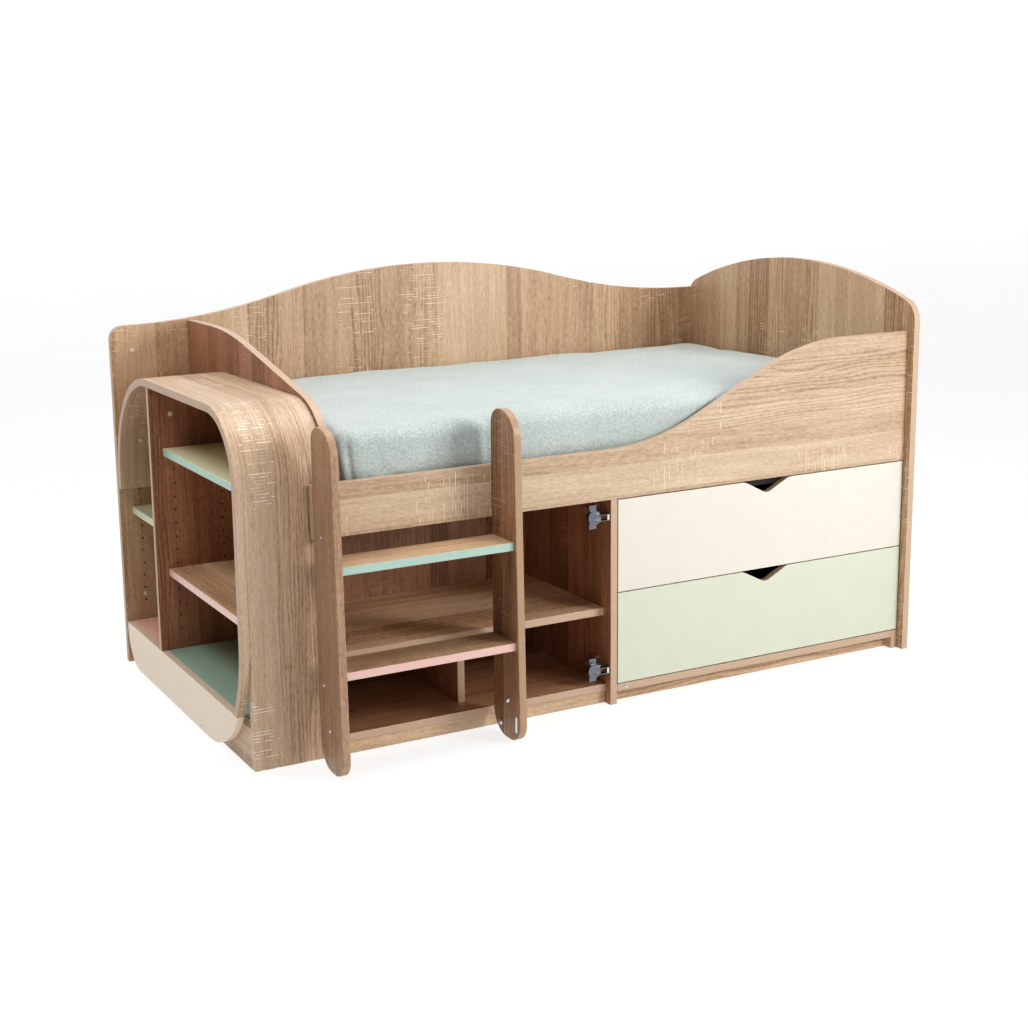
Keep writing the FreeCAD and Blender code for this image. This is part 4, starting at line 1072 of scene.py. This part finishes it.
@dataclass
class Mattress:
    """Foam mattress in a fitted sheet, made as one cloth surface and puffed by a simulation.

    Each wave has its length in metres and its height in millimetres. Each pleat has its angle round the
    corner, its width as an angle and its height in millimetres. Levels on the side are shares of the way
    from the core to the hem.
    """

    cell: float = 7 * MM
    corner: float = 60 * MM
    roll: float = 30 * MM
    under_roll: float = 18 * MM
    hem: float = 22 * MM
    bulge: float = 3 * MM
    crown: float = 13 * MM
    inset: float = 1 * MM
    lift: float = 1 * MM
    room: Point = (4 * MM, 4 * MM, 2 * MM)
    cap: float = 5 * MM
    steps: int = 20
    held_from: float = 0.86
    seed: int = 7
    side_from: float = 0.18
    side_fade: float = 0.2
    wave_share: float = 0.6
    ripple: float = 0.085
    ripple_height: float = 0.8 * MM
    sway: float = 0.37
    sway_turn: float = 2.2
    corner_gap: float = 0.02
    pleat_slant: float = 0.6
    pleat_level: float = 0.45
    waves: tuple[tuple[float, float], ...] = (
        (0.42, 1.3), (0.27, 0.9), (0.16, 0.6), (0.10, 0.4), (0.06, 0.25))
    pleats: tuple[Point, ...] = ((0.55, 0.10, -6.0), (0.80, 0.10, 3.0), (1.08, 0.09, -4.5))

    def profile(self, reach: np.ndarray, top: float, bottom: float) -> tuple[np.ndarray, np.ndarray]:
        """Section of the slab by its length from the corner's centre: flat, roll, side, roll, hem.

        Args:
            reach: length along the section.
            top: height of the top edge.
            bottom: height of the underside.

        Returns:
            Distance outwards and height.
        """
        flat = self.corner - self.roll
        arc = self.roll * math.pi / 2
        side = top - self.roll - bottom - self.under_roll
        low_arc = self.under_roll * math.pi / 2
        first = np.clip((reach - flat) / arc, 0, 1) * math.pi / 2
        down = np.clip((reach - flat - arc) / side, 0, 1)
        last = np.clip((reach - flat - arc - side) / low_arc, 0, 1) * math.pi / 2
        inward = np.clip(reach - flat - arc - side - low_arc, 0, None)
        out = np.minimum(reach, flat) + self.roll * np.sin(first) + self.bulge * np.sin(math.pi * down)
        out = out - self.under_roll * (1 - np.cos(last)) - inward
        height = top - self.roll * (1 - np.cos(first)) - side * down - self.under_roll * np.sin(last)
        return out, height

    def sheet(self) -> tuple[np.ndarray, np.ndarray, np.ndarray]:
        """Grid of the sheet, wrapped over the slab.

        A flat grid covers a core rectangle, strips beside it and quarter discs at the corners. A point's
        distance from the core is its length along the section, so strips roll over the edge and down.

        Returns:
            Points, distance from the core, and the direction round each corner.
        """
        low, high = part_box("mattress")
        middle = (low + high) / 2
        half = (high - low) / 2
        top = high.z - self.crown
        bottom = low.z + self.lift
        core = np.array([half.x, half.y]) - self.inset - self.corner
        total = (self.corner - self.roll + (self.roll + self.under_roll) * math.pi / 2 + self.hem
                 + top - self.roll - bottom - self.under_roll)
        band = np.linspace(0, 1, 2 * math.ceil(total / self.cell / 2) + 1)
        lines = []
        for extent in core:
            inner = np.linspace(-extent, extent, 2 * math.ceil(extent / self.cell) + 1)
            rest = np.full(len(band) - 1, extent)
            shares = np.concatenate([-band[:0:-1], np.zeros(len(inner)), band[1:]])
            lines.append((np.concatenate([-rest, inner, rest]), shares))
        base_x, base_y = np.meshgrid(lines[0][0], lines[1][0], indexing="ij")
        part_x, part_y = np.meshgrid(lines[0][1], lines[1][1], indexing="ij")
        step_x = part_x * np.sqrt(1 - part_y ** 2 / 2)
        step_y = part_y * np.sqrt(1 - part_x ** 2 / 2)
        far = np.hypot(step_x, step_y)
        safe = np.where(far > 0, far, 1)
        reach = far * total
        out, height = self.profile(reach, top, bottom)
        x = base_x + out * step_x / safe
        y = base_y + out * step_y / safe
        swell = (1 - (x / half.x) ** 2) * (1 - (y / half.y) ** 2)
        height = height + np.where(height > top - self.roll, self.crown * np.clip(swell, 0, 1) ** 0.6, 0)
        points = np.stack([middle.x + x, middle.y + y, height], -1)
        return points, reach / total, np.arctan2(np.abs(step_y), np.abs(step_x))

    def folds(self, points: np.ndarray, reach: np.ndarray, turn: np.ndarray) -> np.ndarray:
        """Small waves of the cloth, added along its outward direction.

        Long low waves cross the top, ripples run down the sides, and each corner has pleats, which are
        bell curves of the angle round the corner.

        Args:
            points: the sheet's points.
            reach: share of the way from the core to the hem.
            turn: angle round the corner, from zero to a right angle.

        Returns:
            Height of the waves at each point.
        """
        chance = np.random.default_rng(self.seed)
        waves = np.zeros(reach.shape)
        for length, size in self.waves:
            for _ in range(3):
                angle = chance.uniform(0, math.pi)
                phase = chance.uniform(0, 2 * math.pi)
                along = points[..., 0] * math.cos(angle) + points[..., 1] * math.sin(angle)
                waves += size * MM * np.sin(2 * math.pi * along / length + phase)
        begun = np.clip((reach - self.side_from) / self.side_fade, 0, 1)
        side = begun * np.clip((1.0 - reach) / self.side_fade, 0, 1)
        walk = points[..., 0] + points[..., 1]
        swayed = self.sway_turn * np.sin(2 * math.pi * walk / self.sway)
        ripple = np.sin(2 * math.pi * walk / self.ripple + swayed)
        turning = (turn > self.corner_gap) & (turn < math.pi / 2 - self.corner_gap)
        corner = np.where(turning, 1.0, 0.0) * side
        pleat = np.zeros(reach.shape)
        for centre, width, depth in self.pleats:
            lean = self.pleat_slant * (reach - self.pleat_level)
            pleat += depth * MM * np.exp(-((turn - centre - lean) / width) ** 2)
        down_side = self.ripple_height * ripple * side * (1 - corner)
        return self.wave_share * waves + down_side + pleat * corner

    def mesh(self, points: np.ndarray, closed: bool) -> bpy.types.Mesh:
        """Make the sheet's mesh from its grid.

        Args:
            points: the sheet's points.
            closed: whether the underside is filled by a fan from its middle.

        Returns:
            The mesh.
        """
        rows, columns, _ = points.shape
        row, column = np.meshgrid(np.arange(rows - 1), np.arange(columns - 1), indexing="ij")
        first = (row * columns + column).reshape(-1)
        faces = np.stack([first, first + columns, first + columns + 1, first + 1], -1).tolist()
        spots = points.reshape(-1, 3)
        if closed:
            index = np.arange(rows * columns).reshape(rows, columns)
            ring = np.concatenate([index[0, :-1], index[:-1, -1], index[-1, :0:-1], index[:0:-1, 0]])
            hub = np.full(len(ring), len(spots))
            faces += np.stack([ring, np.roll(ring, -1), hub], -1).tolist()
            spots = np.vstack([spots, spots[ring].mean(0)])
        mesh = bpy.data.meshes.new("sheeted_mattress")
        mesh.from_pydata(spots.tolist(), [], faces)
        smooth(mesh)
        return mesh

    def puff(self, points: np.ndarray, reach: np.ndarray) -> np.ndarray:
        """Let the cloth swell under a low pressure with its hem held.

        The trial cloth has every second point. The rest follow as means of their neighbours.

        Args:
            points: the sheet's points.
            reach: share of the way from the core to the hem.

        Returns:
            The settled points, none moved further than the cap.
        """
        scene = bpy.context.scene
        coarse = points[::2, ::2]
        trial = bpy.data.objects.new("cloth_trial", self.mesh(coarse, False))
        scene.collection.objects.link(trial)
        held = trial.vertex_groups.new(name="hem")
        held.add(np.flatnonzero(reach[::2, ::2].reshape(-1) > self.held_from).tolist(), 1.0, "REPLACE")
        cloth = trial.modifiers.new("cloth", "CLOTH").settings
        cloth.quality = 5
        cloth.mass = 0.25
        cloth.tension_stiffness = 14
        cloth.compression_stiffness = 14
        cloth.bending_stiffness = 0.4
        cloth.shrink_min = -0.012
        cloth.use_pressure = True
        cloth.uniform_pressure_force = 1.2
        cloth.effector_weights.gravity = 0
        cloth.vertex_group_mass = held.name
        for step in range(1, self.steps + 1):
            scene.frame_set(step)
        settled = trial.evaluated_get(bpy.context.evaluated_depsgraph_get())
        moved = np.empty(len(settled.data.vertices) * 3)
        settled.data.vertices.foreach_get("co", moved)
        shift = moved.reshape(coarse.shape) - coarse
        size = np.linalg.norm(shift, axis=-1, keepdims=True)
        LOG.info("cloth moved %.1f mm at most", size.max() / MM)
        shift = shift * np.minimum(1, self.cap / np.maximum(size, 1e-9))
        bpy.data.objects.remove(trial)
        scene.frame_set(1)
        rows = np.empty((points.shape[0], coarse.shape[1], 3))
        rows[::2] = shift
        rows[1::2] = (shift[:-1] + shift[1:]) / 2
        full = np.empty(points.shape)
        full[:, ::2] = rows
        full[:, 1::2] = (rows[:, :-1] + rows[:, 1:]) / 2
        return points + full

    def build(self) -> None:
        """Make the sheeted mattress in place of its plain solid."""
        points, reach, turn = self.sheet()
        points = self.puff(points, reach)
        normal = np.cross(np.gradient(points, axis=0), np.gradient(points, axis=1))
        normal /= np.maximum(np.linalg.norm(normal, axis=-1, keepdims=True), 1e-12)
        points = points + normal * self.folds(points, reach, turn)[..., None]
        low, high = (np.array(corner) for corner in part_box("mattress"))
        room = np.array(self.room)
        points = np.clip(points, low - room * [1, 1, 0], high + room)
        piece = place_piece(self.mesh(points, True), "sheeted_mattress", "mattress", Towelling())


@dataclass(frozen=True)
class SoftBox:
    """A square soft box that looks at a point, with its power in watts."""

    name: str
    at: Point
    aim: Point
    size: float
    power: float

    def hang(self) -> None:
        """Add the lamp to the scene."""
        data = bpy.data.lights.new(self.name, "AREA")
        data.shape = "SQUARE"
        data.size = self.size
        data.energy = self.power
        lamp = bpy.data.objects.new(self.name, data)
        bpy.context.scene.collection.objects.link(lamp)
        lamp.location = self.at
        lamp.rotation_euler = (Vector(self.aim) - Vector(self.at)).to_track_quat("-Z", "Y").to_euler()


@dataclass
class Studio:
    """Pale floor, soft light and the photograph's camera, whose angles are in degrees."""

    eye: Point = (-2.0345, -3.496, 1.333)
    yaw: float = 26.07
    pitch: float = 11.22
    roll: float = 1.30
    focal_px: float = 1578.0
    centre_px: tuple[float, float] = (411.0, 466.0)
    frame_px: float = 1028.0
    sensor_mm: float = 36.0
    sight: float = 60.0
    wide: float = 30.0
    back: float = 14.0
    drop: float = 0.5 * MM
    floor_glow: float = 0.56
    backdrop_glow: float = 0.66
    room_light: float = 0.12
    boxes: tuple[SoftBox, ...] = (
        SoftBox("key", (1.5, -2.5, 1.62), (0.0, -0.3, 0.55), 1.0, 36.0),
        SoftBox("front", (-1.0, -4.0, 1.5), (-0.5, 0.0, 0.5), 1.4, 20.0),
        SoftBox("left", (-2.1, -0.6, 3.1), (-0.8, 0.0, 0.4), 1.0, 20.0),
        SoftBox("top", (0.0, -0.2, 3.6), (0.0, 0.0, 0.0), 2.4, 48.0),
    )

    def camera(self) -> None:
        """Set the camera by its yaw from +Y, its pitch down and its roll."""
        yaw, pitch, roll = (math.radians(angle) for angle in (self.yaw, self.pitch, self.roll))
        ahead = Vector((math.sin(yaw) * math.cos(pitch), math.cos(yaw) * math.cos(pitch), -math.sin(pitch)))
        right = Vector((math.cos(yaw), -math.sin(yaw), 0))
        down = ahead.cross(right)
        across = right * math.cos(roll) + down * math.sin(roll)
        lower = down * math.cos(roll) - right * math.sin(roll)
        data = bpy.data.cameras.new("portrait_camera")
        data.sensor_width = self.sensor_mm
        data.lens = self.sensor_mm * self.focal_px / self.frame_px
        data.shift_x = (self.frame_px / 2 - self.centre_px[0]) / self.frame_px
        data.shift_y = (self.centre_px[1] - self.frame_px / 2) / self.frame_px
        data.clip_end = self.sight
        camera = bpy.data.objects.new("portrait_camera", data)
        bpy.context.scene.collection.objects.link(camera)
        turn = Matrix((across, -lower, -ahead)).transposed().to_4x4()
        camera.matrix_world = Matrix.Translation(self.eye) @ turn
        bpy.context.scene.camera = camera

    def lay(self, name: str, corners: list[Point], glow: float) -> None:
        """Lay one pale sheet of the studio, which glows a little so that it reads as white.

        Args:
            name: the sheet's name.
            corners: its four corners.
            glow: strength of its own light.
        """
        mesh = bpy.data.meshes.new(name)
        mesh.from_pydata(corners, [], [(0, 1, 2, 3)])
        mesh.transform(Matrix.Translation((0, 0, -self.drop)))
        material, tree = start(name)
        place = add(tree, "TexCoord", out="Object")
        cloud = add(tree, "TexNoise", {}, {"Vector": place, "Scale": 0.8, "Detail": 2.0})
        close(tree, {
            "Base Color": add(tree, "MapRange", {}, {
                "Value": cloud, "From Min": 0.3, "From Max": 0.7, "To Min": 0.22, "To Max": 0.24}),
            "Roughness": 0.9,
            "Emission Color": (1.0, 1.0, 1.0, 1.0),
            "Emission Strength": glow,
        })
        mesh.materials.append(material)
        sheet = bpy.data.objects.new(name, mesh)
        bpy.context.scene.collection.objects.link(sheet)

    def floor(self) -> None:
        """Lay a wide pale floor just under the feet and hang a pale backdrop far behind."""
        wide = self.wide
        back = self.back
        self.lay(
            "pale_floor", [(-wide, -wide, 0), (wide, -wide, 0), (wide, back, 0), (-wide, back, 0)],
            self.floor_glow)
        self.lay(
            "pale_backdrop", [(-wide, back, 0), (wide, back, 0), (wide, back, wide), (-wide, back, wide)],
            self.backdrop_glow)

    def light(self) -> None:
        """Light the bed with its soft boxes in a dim pale room, under a contrasty look."""
        world = bpy.data.worlds.new("pale_room")
        world.use_nodes = True
        background = world.node_tree.nodes["Background"]
        background.inputs["Color"].default_value = (1.0, 0.99, 0.98, 1.0)
        background.inputs["Strength"].default_value = self.room_light
        bpy.context.scene.world = world
        for box in self.boxes:
            box.hang()
        bpy.context.scene.view_settings.view_transform = "Standard"
        bpy.context.scene.view_settings.look = "High Contrast"


def main() -> None:
    """Build and dress the bed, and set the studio."""
    logging.basicConfig(level=logging.INFO, format="%(message)s")
    Mattress().build()
    for part in (BedFrame(), Bookcase(), Ladder(), DrawerUnit(), Cupboard()):
        part.build()
        part.dress()
    studio = Studio()
    studio.floor()
    studio.light()
    studio.camera()


if __name__ == "__main__":
    main()
